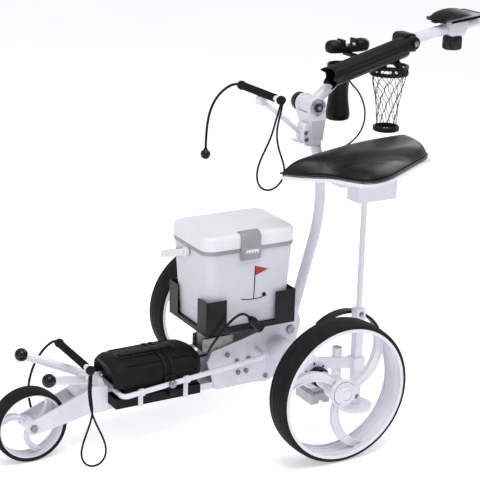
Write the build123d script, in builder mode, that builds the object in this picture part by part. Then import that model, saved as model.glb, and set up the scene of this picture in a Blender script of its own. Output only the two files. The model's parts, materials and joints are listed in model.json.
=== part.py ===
from build123d import *
import os
from math import atan2, cos, degrees, pi, radians, sin, tan

os.makedirs("parts", exist_ok=True)

# An electric golf trolley with a folding handle, a side seat and a cooler.
# Millimetres: +X forward, +Y left, +Z up, origin on the ground under the rear axle.

# Driving dimensions
WHEEL_R = 162.0  # rear tyre radius
WHEEL_WIDTH = 62.0
WHEEL_Y = 294.5  # middle of a rear wheel
TYRE_T = 11.0
FRONT_X = 610.0  # front axle
FRONT_R = 83.5
FRONT_WIDTH = 40.0
FRONT_TYRE_T = 10.0
SHAFT_R = 6.0
FIT = 0.05  # radial clearance of a running fit
GAP = 0.3  # clearance between bodies
MOTOR_R = 35.0
MOTOR_Y = (105.0, 198.0)
HOUSING_R = 33.0
PLATE_Y = (25.0, 29.0)  # junction plates
FORK_Y = (25.0, 30.0)
RAIL_R = 6.0
RAIL_Y = 75.0
RAIL_REAR = (55.0, 170.0)
RAIL_FRONT = (417.0, 137.0)
HINGE = (-87.0, 730.0)  # handle hinge, X and Z
KNUCKLE_R = 22.0
KNUCKLE_HALF = 17.6
TUBE_R = 13.0  # handle tube
HANDLE_END_X = -693.5
GRIP_R = 14.0
COOLER_X = 107.0  # middle of the cooler
COOLER_Z = (260.3, 445.7)
LID_TOP = 478.0
TRAY_Z = 258.0
TRAY_T = 2.0
LEG = (-187.0, 88.0)  # seat leg, X and Y
SOCKET = (-150.0, 60.0)  # rear socket tube, X and Y
SEAT_Z = (606.0, 646.0)


def save(builder, label):
    """Labels a finished sub-part and writes it."""
    builder.part.label = label
    export_step(builder.part, "parts/" + label + ".step")


def along(points, radii):
    """A path of straight runs joined by tangent arcs."""
    return FilletPolyline(*points, radius=radii)


def corner_radii(points, share=0.45):
    """The largest arc at each corner of a cord's route that its two runs allow."""
    radii = []
    for a, b, c in zip(points, points[1:], points[2:]):
        u = Vector(*b) - Vector(*a)
        v = Vector(*c) - Vector(*b)
        half = radians(u.get_angle(v)) / 2
        radii.append(share * min(u.length, v.length) / tan(half))
    return radii


def side_plane(y):
    """A plane across the width at y, whose own x is +X and y is +Z."""
    return Plane(origin=(0, y, 0), x_dir=(1, 0, 0), z_dir=(0, -1, 0))


def across_x(x, y=0.0, z=0.0):
    """A plane facing +X whose own x is +Y and y is +Z."""
    return Plane(origin=(x, y, z), x_dir=(0, 1, 0), z_dir=(1, 0, 0))



def hexagon_bolt(x, z, shank_r, head_r, half, head_t):
    """A bolt across the width with a head or nut at each end."""
    with BuildSketch(side_plane(0)) as face:
        with Locations((x, z)):
            Circle(shank_r)
    extrude(face.sketch, amount=half, both=True)
    for end in (1, -1):
        with BuildSketch(side_plane(end * (half + head_t / 2))) as face:
            with Locations((x, z)):
                RegularPolygon(head_r, 6)
        extrude(face.sketch, amount=head_t / 2, both=True)


def cylinder_y(x, z, radius, y_from, y_to, mode=Mode.ADD):
    """A cylinder along the width between two y values."""
    with BuildSketch(side_plane((y_from + y_to) / 2)) as face:
        with Locations((x, z)):
            Circle(radius)
    extrude(face.sketch, amount=abs(y_to - y_from) / 2, both=True, mode=mode)


def block(x, y, z, mode=Mode.ADD):
    """A box between the given pairs of x, y and z."""
    with BuildSketch(Plane.XY.offset(z[0])) as face:
        with Locations(((x[0] + x[1]) / 2, (y[0] + y[1]) / 2)):
            Rectangle(x[1] - x[0], y[1] - y[0])
    extrude(face.sketch, amount=z[1] - z[0], mode=mode)


# ---------------------------------------------------------------- bolts
PLATE_OUTLINE = [
    (184, 161), (172, 184), (99, 200), (41, 215), (-10, 252), (-50, 262),
    (-64, 222), (-53, 173), (-12, 99), (26, 84), (59, 88), (163, 88),
]
PLATE_BOLTS = [(133, 170), (107, 150), (76, 152), (82, 122), (103, 121), (29, 99)]
PIVOT = (-35.0, 205.0)
LOCK = (-17.0, 232.0)
with BuildPart() as frame_bolts:
    for x, z in PLATE_BOLTS:
        hexagon_bolt(x, z, 3.0, 6.0, PLATE_Y[1], 4.0)
    hexagon_bolt(*PIVOT, 6.0, 11.0, PLATE_Y[1], 6.0)
    hexagon_bolt(*LOCK, 4.0, 6.5, PLATE_Y[1], 4.0)
    # front axle
    hexagon_bolt(FRONT_X, FRONT_R, 5.0, 9.0, FORK_Y[1], 5.0)
save(frame_bolts, "frame_bolts")

# ---------------------------------------------------------------- battery rails and straps
SLOPE = atan2(RAIL_FRONT[1] - RAIL_REAR[1], RAIL_FRONT[0] - RAIL_REAR[0])
RAIL_RUN = (RAIL_FRONT[0] - RAIL_REAR[0]) / cos(SLOPE)
STRAP_XS = (261.0, 373.0)
STRAP_LOW = 105.3


def rail_height(x):
    """Height of a rail's middle at x."""
    return RAIL_REAR[1] + (x - RAIL_REAR[0]) * tan(SLOPE)


with BuildPart() as battery_rails:
    loop_plane = Plane(
        origin=(RAIL_REAR[0], 0, RAIL_REAR[1]),
        x_dir=(cos(SLOPE), 0, sin(SLOPE)),
        z_dir=(-sin(SLOPE), 0, cos(SLOPE)),
    )
    with BuildLine(loop_plane) as loop:
        FilletPolyline((0, 0), (0, RAIL_Y), (RAIL_RUN, RAIL_Y), (RAIL_RUN, 0), radius=14)
    with BuildSketch(Plane(origin=(RAIL_REAR[0], 0, RAIL_REAR[1]), z_dir=(0, 1, 0))):
        Circle(RAIL_R)
    sweep(path=loop.line)
    mirror(about=Plane.XZ)
    # straps that hang from the rails and carry the battery pan
    for strap_x in STRAP_XS:
        z = rail_height(strap_x)
        with BuildSketch(across_x(strap_x)):
            with Locations((0, (z + STRAP_LOW) / 2)):
                Rectangle(2 * 71.0, z - STRAP_LOW)
            with Locations((0, z / 2 + 54.0 + 2)):
                Rectangle(2 * 68.5, z - 108.0 + 4, mode=Mode.SUBTRACT)
            with Locations((RAIL_Y, z), (-RAIL_Y, z)):
                Circle(RAIL_R + 2.5)
        extrude(amount=5.5, both=True)
save(battery_rails, "battery_rails")

# ---------------------------------------------------------------- front frame
FORK_OUTLINE = [(434, 91), (434, 150), (470, 154), (612, 99), (600, 69), (480, 91)]
with BuildPart() as front_frame:
    # central beam
    block((20, 480), (-PLATE_Y[0], PLATE_Y[0]), (91, 107))
    # fork plates with rounded ends round the front axle
    for side in (1, -1):
        with BuildSketch(side_plane(side * (FORK_Y[0] + FORK_Y[1]) / 2)):
            Polygon(*FORK_OUTLINE, align=None)
            with Locations((FRONT_X, FRONT_R)):
                Circle(15.5)
        extrude(amount=(FORK_Y[1] - FORK_Y[0]) / 2, both=True)
    # top plate over the rear of the fork
    with BuildSketch(side_plane(0)):
        Polygon((434, 146), (470, 150), (509, 134.9), (509, 138.9), (470, 154), (434, 150), align=None)
    extrude(amount=FORK_Y[0], both=True)
    # tongue that holds the front cross tube of the rails
    block((415, 436), (-FORK_Y[0], FORK_Y[0]), (133, 141))
    add(frame_bolts.part, mode=Mode.SUBTRACT)
    add(battery_rails.part, mode=Mode.SUBTRACT)
save(front_frame, "front_frame")

# ---------------------------------------------------------------- junction and axle
for side, name in ((1, "junction_plate_left"), (-1, "junction_plate_right")):
    with BuildPart() as plate:
        with BuildSketch(side_plane(side * (PLATE_Y[0] + PLATE_Y[1]) / 2)) as plate_face:
            Polygon(*PLATE_OUTLINE, align=None)
            fillet(plate_face.vertices(), 5)
            with Locations((0, WHEEL_R)):
                Circle(HOUSING_R, mode=Mode.SUBTRACT)
            with Locations(*PLATE_BOLTS):
                Circle(3.0, mode=Mode.SUBTRACT)
            with Locations(PIVOT):
                Circle(6.0, mode=Mode.SUBTRACT)
            with Locations(LOCK):
                Circle(4.0, mode=Mode.SUBTRACT)
            with Locations(RAIL_REAR):
                Circle(RAIL_R, mode=Mode.SUBTRACT)
        extrude(amount=(PLATE_Y[1] - PLATE_Y[0]) / 2, both=True)
    save(plate, name)

with BuildPart() as axle_housing:
    cylinder_y(0, WHEEL_R, HOUSING_R, -MOTOR_Y[0], MOTOR_Y[0])
save(axle_housing, "axle_housing")

SHAFT_END = 318.0
for side, name in ((1, "motor_left"), (-1, "motor_right")):
    with BuildPart() as motor:
        cylinder_y(0, WHEEL_R, MOTOR_R, side * MOTOR_Y[0], side * MOTOR_Y[1])
        end_edges = motor.edges().filter_by(GeomType.CIRCLE).sort_by(Axis.Y)
        fillet(end_edges[-1] if side > 0 else end_edges[0], 5)
        cylinder_y(0, WHEEL_R, SHAFT_R, side * MOTOR_Y[1], side * SHAFT_END)
    save(motor, name)

CONTROLLER_X = (-48.0, 0.0)
CONTROLLER_Y = (120.0, 188.0)
with BuildPart() as controller_box:
    block(CONTROLLER_X, CONTROLLER_Y, (81, 105))
    block((-38, -8), (CONTROLLER_Y[0] + 8, CONTROLLER_Y[1] - 8), (105, 136))
    cylinder_y(0, WHEEL_R, MOTOR_R, CONTROLLER_Y[0], CONTROLLER_Y[1], mode=Mode.SUBTRACT)
    # notch in the underside
    block((-34, -20), CONTROLLER_Y, (81, 88), mode=Mode.SUBTRACT)
save(controller_box, "controller_box")

# ---------------------------------------------------------------- post with the hinge clevis
POST_PATH = [(-44, 0, 180), (-137, 0, 510), (-79, 0, 725)]
POST_R = 12.5
CHEEK_R = 23.0
CHEEK_Y = (18.0, 30.0)
KNOB_Y = (-31.0, -57.0)
with BuildPart() as post:
    with BuildLine() as post_line:
        along(POST_PATH, [400])
    post_start = Vector(*POST_PATH[0])
    with BuildSketch(Plane(origin=post_start, z_dir=Vector(*POST_PATH[1]) - post_start)):
        Circle(POST_R)
    sweep(path=post_line.line)
    # foot block between the junction plates
    with BuildSketch(side_plane(0)) as foot_face:
        Polygon((-64, 224), (-30, 252), (-6, 240), (-20, 194), (-50, 180), align=None)
        fillet(foot_face.vertices(), 5)
    extrude(amount=PLATE_Y[0], both=True)
    # web that widens to the cheeks
    with BuildSketch(side_plane(0)):
        Polygon((-112, 648), (-86, 648), (-66, 716), (-70, 740), (-104, 740), (-109, 716), align=None)
    extrude(amount=CHEEK_Y[1], both=True)
    with BuildSketch(across_x(-130)):
        for side in (1, -1):
            Polygon((side * 14, 640), (side * 34, 640), (side * 34, 712), (side * 30, 700), align=None)
    extrude(amount=80, mode=Mode.SUBTRACT)
    cylinder_y(*HINGE, CHEEK_R, -CHEEK_Y[1], CHEEK_Y[1])
    cylinder_y(*HINGE, CHEEK_R + 1, -CHEEK_Y[0], CHEEK_Y[0], mode=Mode.SUBTRACT)
    # hinge pin with its hexagonal head
    cylinder_y(*HINGE, 5.0, -55.0, CHEEK_Y[1])
    with BuildSketch(side_plane(CHEEK_Y[1] + 3)):
        with Locations(HINGE):
            RegularPolygon(9.5, 6)
    extrude(amount=3, both=True)
    add(frame_bolts.part, mode=Mode.SUBTRACT)
save(post, "post")

with BuildPart() as hinge_knob:
    cylinder_y(*HINGE, 21.0, KNOB_Y[0], KNOB_Y[1])
    cylinder_y(*HINGE, 5.0 + FIT, KNOB_Y[0], KNOB_Y[1] - 2, mode=Mode.SUBTRACT)
    # grip flutes
    with BuildSketch(side_plane((KNOB_Y[0] + KNOB_Y[1]) / 2)):
        with Locations(HINGE):
            with PolarLocations(22.5, 16):
                Circle(2.6)
    extrude(amount=13, both=True, mode=Mode.SUBTRACT)
save(hinge_knob, "hinge_knob")

# ---------------------------------------------------------------- rear arm
SLEEVE_Z = (100.0, 130.0)
LEG_HALF = 10.0
with BuildPart() as rear_arm:
    # arm from the junction to the leg
    arm_plane = Plane(origin=(-42, 25, 115), x_dir=(LEG[0] + 42, LEG[1] - 25, 0), z_dir=(0, 0, 1))
    with BuildSketch(arm_plane):
        with Locations((75, 0)):
            Rectangle(150, 10)
    extrude(amount=13, both=True)
    # square sleeve round the leg
    block((LEG[0] - 15, LEG[0] + 15), (LEG[1] - 15, LEG[1] + 15), SLEEVE_Z)
    # round socket
    with BuildSketch(Plane.XY.offset(70)):
        with Locations(SOCKET):
            Circle(12)
    extrude(amount=80)
    with BuildSketch(Plane.XY.offset(75)):
        with Locations(SOCKET):
            Circle(10)
    extrude(amount=80, mode=Mode.SUBTRACT)
    half = LEG_HALF + FIT
    block((LEG[0] - half, LEG[0] + half), (LEG[1] - half, LEG[1] + half), SLEEVE_Z, mode=Mode.SUBTRACT)
    # foot of the arm on the left junction plate
    block((-60, -10), (PLATE_Y[1], PLATE_Y[1] + 4), (103, 127))
    block((-70, 0), (0, PLATE_Y[1]), (90, 150), mode=Mode.SUBTRACT)
    add(axle_housing.part, mode=Mode.SUBTRACT)
save(rear_arm, "rear_arm")

# ---------------------------------------------------------------- rear wheels
SPOKE_ENDS = (8.0, 128.0, 248.0)


def spoke_band(hub_r, rim_r, end_angle, bend, offsets):
    """Outline of a spoke that sweeps back by bend degrees, between two offsets from its middle."""
    edges = []
    for offset_by in offsets:
        points = []
        for share, turn in ((0.0, 1.0), (0.5, 0.62), (1.0, 0.0)):
            radius = hub_r + share * (rim_r - hub_r)
            angle = radians(end_angle + bend * turn) + offset_by / max(radius, 40.0)
            points.append((radius * cos(angle), radius * sin(angle)))
        edges.append(points)
    first, last = edges
    ThreePointArc(*first)
    Line(first[-1], last[-1])
    ThreePointArc(*reversed(last))
    Line(last[0], first[0])


def wheel_rim(x, z, y_mid, rim_r, barrel_t, width, hub_r, spoke_y, spoke_t, spoke_w, bend):
    """Barrel, hub disc and three swept spokes, made inside a BuildPart block."""
    with BuildSketch(side_plane(y_mid)) as face:
        with Locations((x, z)):
            Circle(rim_r)
            Circle(rim_r - barrel_t, mode=Mode.SUBTRACT)
    extrude(face.sketch, amount=width / 2, both=True)
    # low ridges round the inside of the barrel
    for ridge in (-0.3, 0.0, 0.3):
        with BuildSketch(side_plane(y_mid + ridge * width)) as face:
            with Locations((x, z)):
                Circle(rim_r - barrel_t)
                Circle(rim_r - barrel_t - 1.2, mode=Mode.SUBTRACT)
        extrude(face.sketch, amount=1.5, both=True)
    for end_angle in SPOKE_ENDS:
        half = spoke_w / 2
        for offsets, thick in (((-half, half), 0.0), ((-half, 4 - half), 2.0), ((half - 4, half), 2.0)):
            with BuildSketch(Plane(origin=(x, spoke_y, z), x_dir=(1, 0, 0), z_dir=(0, -1, 0))) as face:
                with BuildLine():
                    spoke_band(hub_r * 0.7, rim_r - barrel_t / 2, end_angle, bend, offsets)
                make_face()
            extrude(face.sketch, amount=spoke_t / 2 + thick, both=True)


def tyre(x, z, y_mid, outer, inner, width, crown):
    """A closed ring with a gently crowned tread, made inside a BuildPart block."""
    half = width / 2
    with BuildSketch(Plane(origin=(x, y_mid, z), x_dir=(0, 1, 0), z_dir=(-1, 0, 0))) as face:
        with BuildLine():
            Line((-half, inner), (half, inner))
            Line((half, inner), (half, outer - crown))
            ThreePointArc((half, outer - crown), (0, outer), (-half, outer - crown))
            Line((-half, outer - crown), (-half, inner))
        make_face()
    revolve(face.sketch, axis=Axis((x, y_mid, z), (0, 1, 0)))


RIM_R = WHEEL_R - TYRE_T
for side, end in ((1, "left"), (-1, "right")):
    with BuildPart() as rear_tyre:
        tyre(0, WHEEL_R, side * WHEEL_Y, WHEEL_R, RIM_R, WHEEL_WIDTH, 3.0)
    save(rear_tyre, "rear_tyre_" + end)

    with BuildPart() as rear_rim:
        spoke_y = side * (WHEEL_Y + 6)
        wheel_rim(0, WHEEL_R, side * WHEEL_Y, RIM_R, 3.5, 60.0, 26.0, spoke_y, 9.0, 22.0, 42)
        cylinder_y(0, WHEEL_R, 26.0, side * 276, side * 322)
        # neck and sleeve towards the motor
        cylinder_y(0, WHEEL_R, 18.0, side * 230, side * 276)
        cylinder_y(0, WHEEL_R, 15.0, side * 203, side * 230)
        # conical cap
        with BuildSketch(side_plane(side * 322)):
            with Locations((0, WHEEL_R)):
                Circle(20)
        with BuildSketch(side_plane(side * 330)):
            with Locations((0, WHEEL_R)):
                Circle(10)
        loft()
        cylinder_y(0, WHEEL_R, SHAFT_R + FIT, side * 203, side * (SHAFT_END + 2), mode=Mode.SUBTRACT)
    save(rear_rim, "rear_rim_" + end)

    with BuildPart() as collar:
        cylinder_y(0, WHEEL_R, 21.0, side * 203.5, side * 225.5)
        with BuildSketch(side_plane(side * 214.5)):
            with Locations((0, WHEEL_R)):
                with PolarLocations(22.5, 14):
                    Circle(2.8)
        extrude(amount=8, both=True, mode=Mode.SUBTRACT)
        cylinder_y(0, WHEEL_R, 15.0 + FIT, side * 203.5, side * 225.5, mode=Mode.SUBTRACT)
    save(collar, "wheel_collar_" + end)

# ---------------------------------------------------------------- front wheel
FRONT_RIM_R = FRONT_R - FRONT_TYRE_T
with BuildPart() as front_tyre:
    tyre(FRONT_X, FRONT_R, 0, FRONT_R, FRONT_RIM_R, FRONT_WIDTH, 2.0)
save(front_tyre, "front_tyre")

with BuildPart() as front_rim:
    wheel_rim(FRONT_X, FRONT_R, 0, FRONT_RIM_R, 3.0, 38.0, 16.0, 0, 8.0, 15.0, 42)
    cylinder_y(FRONT_X, FRONT_R, 14.0, -24, 24)
    cylinder_y(FRONT_X, FRONT_R, 5.0 + FIT, -24, 24, mode=Mode.SUBTRACT)
save(front_rim, "front_rim")

# ---------------------------------------------------------------- battery
BATTERY_X = (213.0, 432.0)
PAN_X = (222.0, 432.0)
PAN_TOP = 130.0
CASE_LOW_X = (225.0, 404.0)
with BuildPart() as battery_pan:
    block(PAN_X, (-68, 68), (108, PAN_TOP))
    block((PAN_X[0] + 2, PAN_X[1] - 2), (-66, 66), (110, PAN_TOP), mode=Mode.SUBTRACT)
save(battery_pan, "battery_pan")

CASE_TOP = 205.0
CASE_BELLY = 148.0
with BuildPart() as battery_case:
    block(CASE_LOW_X, (-64, 64), (110, 156))
    fillet(battery_case.edges().filter_by(Axis.Z), 14)
    with BuildSketch(Plane.XY.offset(CASE_BELLY)) as case_face:
        with Locations(((BATTERY_X[0] + BATTERY_X[1]) / 2, 0)):
            Rectangle(BATTERY_X[1] - BATTERY_X[0], 132)
        fillet(case_face.vertices(), 26)
    extrude(amount=CASE_TOP - CASE_BELLY)
    fillet(battery_case.faces().sort_by(Axis.Z)[-1].edges(), 14)
    # raised grip along the top
    with BuildSketch(Plane.XY.offset(CASE_TOP - 4)) as grip_face:
        with Locations((335, 6)):
            SlotOverall(130, 26)
    extrude(amount=12)
    fillet(battery_case.faces().sort_by(Axis.Z)[-1].edges(), 4)
save(battery_case, "battery_case")

CLAMP_X = 301.0
with BuildPart() as battery_strap:
    # webbing over the case, down to a clamp on each rail
    with BuildSketch(across_x(CLAMP_X)):
        with Locations((0, 180)):
            RectangleRounded(2 * 69, 2 * 36.5, 14)
        with Locations((0, 180)):
            RectangleRounded(2 * 67, 2 * 34.5, 12, mode=Mode.SUBTRACT)
        with Locations((0, 145)):
            Rectangle(200, 50, mode=Mode.SUBTRACT)
    extrude(amount=12, both=True)
    for side in (1, -1):
        z = rail_height(CLAMP_X)
        with BuildSketch(across_x(CLAMP_X)):
            with Locations((side * RAIL_Y, z)):
                Circle(RAIL_R + 3.5)
            with Locations((side * 73, z + 13)):
                Rectangle(11, 26)
        extrude(amount=8, both=True)
        cylinder_y(CLAMP_X, z, 6.5, side * (RAIL_Y + 9), side * (RAIL_Y + 14))
    add(battery_rails.part, mode=Mode.SUBTRACT)
    add(battery_case.part, mode=Mode.SUBTRACT)
save(battery_strap, "battery_strap")

# ---------------------------------------------------------------- tray and its bracket
BRACKET_X = (116.0, 195.0)
with BuildPart() as tray_bracket:
    block(BRACKET_X, (-PLATE_Y[0], PLATE_Y[0]), (186, 216))
    block((BRACKET_X[0], BRACKET_X[1]), (-PLATE_Y[0] + 3, PLATE_Y[0] - 3), (189, 216), mode=Mode.SUBTRACT)
    for pillar_x in (128.0, 182.0):
        block((pillar_x - 7, pillar_x + 7), (-20, 20), (189, TRAY_Z))
save(tray_bracket, "tray_bracket")

TRAY_X = (-8.0, 222.0)
TRAY_HALF = 90.0
UPSTAND = 72.0
with BuildPart() as cooler_tray:
    block(TRAY_X, (-TRAY_HALF, TRAY_HALF), (TRAY_Z, TRAY_Z + TRAY_T))
    # rolled lip under the edge
    block(TRAY_X, (TRAY_HALF - TRAY_T, TRAY_HALF), (TRAY_Z - 8, TRAY_Z))
    block(TRAY_X, (-TRAY_HALF, TRAY_T - TRAY_HALF), (TRAY_Z - 8, TRAY_Z))
    block((TRAY_X[1] - TRAY_T, TRAY_X[1]), (-TRAY_HALF, TRAY_HALF), (TRAY_Z - 8, TRAY_Z))
    for end_x, inward in ((TRAY_X[0], 1), (TRAY_X[1], -1)):
        for side in (1, -1):
            xs = sorted((end_x, end_x + inward * 52))
            ys = sorted((side * TRAY_HALF, side * (TRAY_HALF - TRAY_T)))
            block(xs, ys, (TRAY_Z, TRAY_Z + UPSTAND))
            xs = sorted((end_x, end_x + inward * TRAY_T))
            ys = sorted((side * TRAY_HALF, side * (TRAY_HALF - 42)))
            block(xs, ys, (TRAY_Z, TRAY_Z + UPSTAND))
save(cooler_tray, "cooler_tray")

# ---------------------------------------------------------------- cooler
COOLER_LOW = (210.0, 154.0)
COOLER_HIGH = (232.0, 172.0)
BAIL_PIVOT_Z = 425.0
BAIL_PIN_X = 112.0
with BuildPart() as cooler_body:
    for z, size in ((COOLER_Z[0], COOLER_LOW), (COOLER_Z[1], COOLER_HIGH)):
        with BuildSketch(Plane.XY.offset(z)):
            with Locations((COOLER_X, 0)):
                RectangleRounded(*size, 28)
    loft()
    for z, size in ((COOLER_Z[0] + 12, COOLER_LOW), (COOLER_Z[1], COOLER_HIGH)):
        with BuildSketch(Plane.XY.offset(z)):
            with Locations((COOLER_X, 0)):
                RectangleRounded(size[0] - 26, size[1] - 26, 18)
    loft(mode=Mode.SUBTRACT)
    # pins of the carrying bail on the two end walls
    for end in (1, -1):
        with BuildSketch(across_x(COOLER_X + end * BAIL_PIN_X, 0, BAIL_PIVOT_Z)):
            Circle(5.0)
        extrude(amount=end * 14.0)
save(cooler_body, "cooler_body")

with BuildPart() as cooler_lid:
    with BuildSketch(Plane.XY.offset(COOLER_Z[1] + GAP)):
        with Locations((COOLER_X, 0)):
            RectangleRounded(236, 176, 30)
    extrude(amount=LID_TOP - COOLER_Z[1] - GAP)
    fillet(cooler_lid.faces().sort_by(Axis.Z)[-1].edges(), 9)
save(cooler_lid, "cooler_lid")

LATCH_HALF = 25.0
LATCH_OUTLINE = [
    (88.5, 418), (88.5, 473), (83, 478.5), (70, 478.5), (70, 481.5), (84.5, 481.5), (92, 474), (92, 418),
]
with BuildPart() as cooler_latch:
    with BuildSketch(across_x(COOLER_X + 6)) as latch_face:
        Polygon(*LATCH_OUTLINE, align=None)
    extrude(amount=LATCH_HALF, both=True)
save(cooler_latch, "cooler_latch")

BAIL_DROP = radians(19.0)
BAIL_LENGTH = 117.0
with BuildPart() as cooler_bail:
    bail_dir = (-cos(BAIL_DROP), -sin(BAIL_DROP))
    far = (BAIL_LENGTH * bail_dir[0], BAIL_LENGTH * bail_dir[1])
    for end in (1, -1):
        with BuildSketch(across_x(COOLER_X + end * 121.5, 0, BAIL_PIVOT_Z)):
            Circle(11.0)
            with Locations((far[0] / 2, far[1] / 2)):
                Rectangle(BAIL_LENGTH, 16.0, rotation=degrees(BAIL_DROP))
            Circle(5.0 + FIT, mode=Mode.SUBTRACT)
        extrude(amount=3.5, both=True)
    with BuildSketch(across_x(COOLER_X, 0, BAIL_PIVOT_Z)):
        with Locations(far):
            Circle(8.0)
    extrude(amount=125.0, both=True)
save(cooler_bail, "cooler_bail")

# ---------------------------------------------------------------- bag supports
CRADLE_BALL = (593.0, 80.0, 213.0)
with BuildPart() as lower_cradle:
    for side in (1, -1):
        start = Vector(452, side * 12, 162)
        end = Vector(CRADLE_BALL[0], side * CRADLE_BALL[1], CRADLE_BALL[2])
        with BuildSketch(Plane(origin=start, z_dir=end - start)):
            Ellipse(7, 10)
        extrude(amount=(end - start).length)
        with BuildSketch(Plane(origin=end, x_dir=(1, 0, 0), z_dir=(0, 1, 0))):
            with BuildLine():
                ThreePointArc((0, -15), (15, 0), (0, 15))
                Line((0, 15), (0, -15))
            make_face()
        revolve(axis=Axis(end, (0, 0, 1)))
    # root block on the fork's top plate
    with BuildSketch(side_plane(0)):
        Polygon((436, 148), (470, 153), (488, 146), (484, 174), (444, 168), align=None)
    extrude(amount=20, both=True)
    add(front_frame.part, mode=Mode.SUBTRACT)
save(lower_cradle, "lower_cradle")

LOWER_BAR = (500.0, 222.0)
UPPER_BAR = (45.0, 770.0)


def strap_bar(x, z):
    """A foam-covered rod across the width with bare ends."""
    cylinder_y(x, z, 8.5, -62, 62)
    cylinder_y(x, z, 6.0, -80, 80)


with BuildPart() as lower_strap_bar:
    strap_bar(*LOWER_BAR)
    # strut from the cradle's root to the near end of the bar
    strut_root = Vector(478, 12, 160)
    strut_top = Vector(LOWER_BAR[0], 72, LOWER_BAR[1])
    with BuildSketch(Plane(origin=strut_root, z_dir=strut_top - strut_root)):
        Circle(5.0)
    extrude(amount=(strut_top - strut_root).length)
    add(lower_cradle.part, mode=Mode.SUBTRACT)
save(lower_strap_bar, "lower_strap_bar")

with BuildPart() as bag_bracket:
    # wrap round the post with a forward arm
    with BuildSketch(side_plane(0)):
        Polygon((-112, 636), (-72, 636), (-56, 668), (-60, 690), (-72, 692), (-96, 690), align=None)
    extrude(amount=17, both=True)
    with BuildSketch(side_plane(0)):
        Polygon((-70, 668), (-62, 660), (46, 748), (40, 756), align=None)
    extrude(amount=9, both=True)
    # small hook under the arm
    with BuildSketch(side_plane(0)):
        Polygon((-76, 640), (-40, 652), (-42, 657), (-76, 652), align=None)
    extrude(amount=5, both=True)
    with BuildSketch(side_plane(0)):
        Polygon((36, 744), (50, 744), (50, 770), (40, 770), align=None)
    extrude(amount=12, both=True)
    add(post.part, mode=Mode.SUBTRACT)
    cylinder_y(*UPPER_BAR, 8.5, -62, 62, mode=Mode.SUBTRACT)
save(bag_bracket, "bag_bracket")

with BuildPart() as upper_strap_bar:
    strap_bar(*UPPER_BAR)
save(upper_strap_bar, "upper_strap_bar")

# ---------------------------------------------------------------- seat
SEAT_OUTLINE = [
    (44, 98), (-60, 56), (-190, 14), (-325, 0), (-352, 50), (-346, 112),
    (-280, 152), (-213, 194), (-149, 234), (-92, 246), (-66, 216), (-44, 168), (6, 143),
]
with BuildPart() as seat_pad:
    with BuildSketch(Plane.XY.offset(SEAT_Z[0])) as pad_face:
        with BuildLine():
            Polyline(*SEAT_OUTLINE, close=True)
        make_face()
        fillet(pad_face.vertices().filter_by(lambda v: v.X < 30), 12)
    extrude(amount=SEAT_Z[1] - SEAT_Z[0])
    chamfer(seat_pad.faces().sort_by(Axis.Z)[-1].edges(), 9)
save(seat_pad, "seat_pad")

BOX_X = (-255.0, -150.0)
BOX_Y = (70.0, 117.0)
BOX_LOW = 520.0
PAN_T = 10.0
with BuildPart() as seat_bracket:
    # pan under the pad
    with BuildSketch(Plane.XY.offset(SEAT_Z[0] - PAN_T)) as pan_face:
        with BuildLine():
            Polyline(*SEAT_OUTLINE, close=True)
        make_face()
        offset(amount=-9, kind=Kind.INTERSECTION)
    extrude(amount=PAN_T)
    # box over the leg
    block(BOX_X, BOX_Y, (BOX_LOW, SEAT_Z[0] - PAN_T))
    # beam from the post to the box
    block((-150, -104), (-14, 117), (562, SEAT_Z[0] - PAN_T))
    add(post.part, mode=Mode.SUBTRACT)
save(seat_bracket, "seat_bracket")

ROD_R = 7.0
with BuildPart() as seat_leg_upper:
    with BuildSketch(Plane.XY.offset(76)):
        with Locations(LEG):
            Circle(ROD_R)
    extrude(amount=BOX_LOW - 76)
save(seat_leg_upper, "seat_leg_upper")

FOOT_R = 42.5
with BuildPart() as seat_leg_lower:
    with BuildSketch(Plane.XY):
        with Locations(LEG):
            Circle(FOOT_R)
    extrude(amount=8)
    block((LEG[0] - 10, LEG[0] + 10), (LEG[1] - 10, LEG[1] + 10), (8, 226))
    block((LEG[0] - 12, LEG[0] + 12), (LEG[1] - 12, LEG[1] + 12), (225, 253))
    with BuildSketch(Plane.XY.offset(12)):
        with Locations(LEG):
            Circle(ROD_R + FIT)
    extrude(amount=260, mode=Mode.SUBTRACT)
save(seat_leg_lower, "seat_leg_lower")

GUARD_MID = (-159.0, 132.0)
GUARD_R = 113.0
with BuildPart() as wheel_guard:
    with BuildSketch(side_plane(66)):
        with Locations(GUARD_MID):
            Circle(GUARD_R)
            Circle(GUARD_R - 7, mode=Mode.SUBTRACT)
        Polygon((-159, 132), (-360, 213), (-360, -20), (60, -20), (60, 400), align=None, mode=Mode.SUBTRACT)
    extrude(amount=10, both=True)
save(wheel_guard, "wheel_guard")

# ---------------------------------------------------------------- handle
HANDLE_PATH = [(-87, 0, 730), (-172, 0, 800), (-345, 0, 858), (-455, 0, 879), (-661, 0, 904.3)]
HANDLE_RADII = [200, 600, 800]
with BuildPart() as handle_tube:
    with BuildLine() as handle_line:
        along(HANDLE_PATH, HANDLE_RADII)
    handle_start = Vector(*HANDLE_PATH[0])
    with BuildSketch(Plane(origin=handle_start, z_dir=Vector(*HANDLE_PATH[1]) - handle_start)):
        Circle(TUBE_R)
    sweep(path=handle_line.line)
    cylinder_y(*HINGE, KNUCKLE_R, -KNUCKLE_HALF, KNUCKLE_HALF)
    cylinder_y(*HINGE, 5.0 + FIT, -KNUCKLE_HALF, KNUCKLE_HALF, mode=Mode.SUBTRACT)
save(handle_tube, "handle_tube")


def handle_height(x):
    """Height of the handle tube's middle at x, on its straight runs."""
    for a, b in zip(HANDLE_PATH, HANDLE_PATH[1:]):
        if b[0] <= x <= a[0]:
            return a[2] + (b[2] - a[2]) * (x - a[0]) / (b[0] - a[0])


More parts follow.
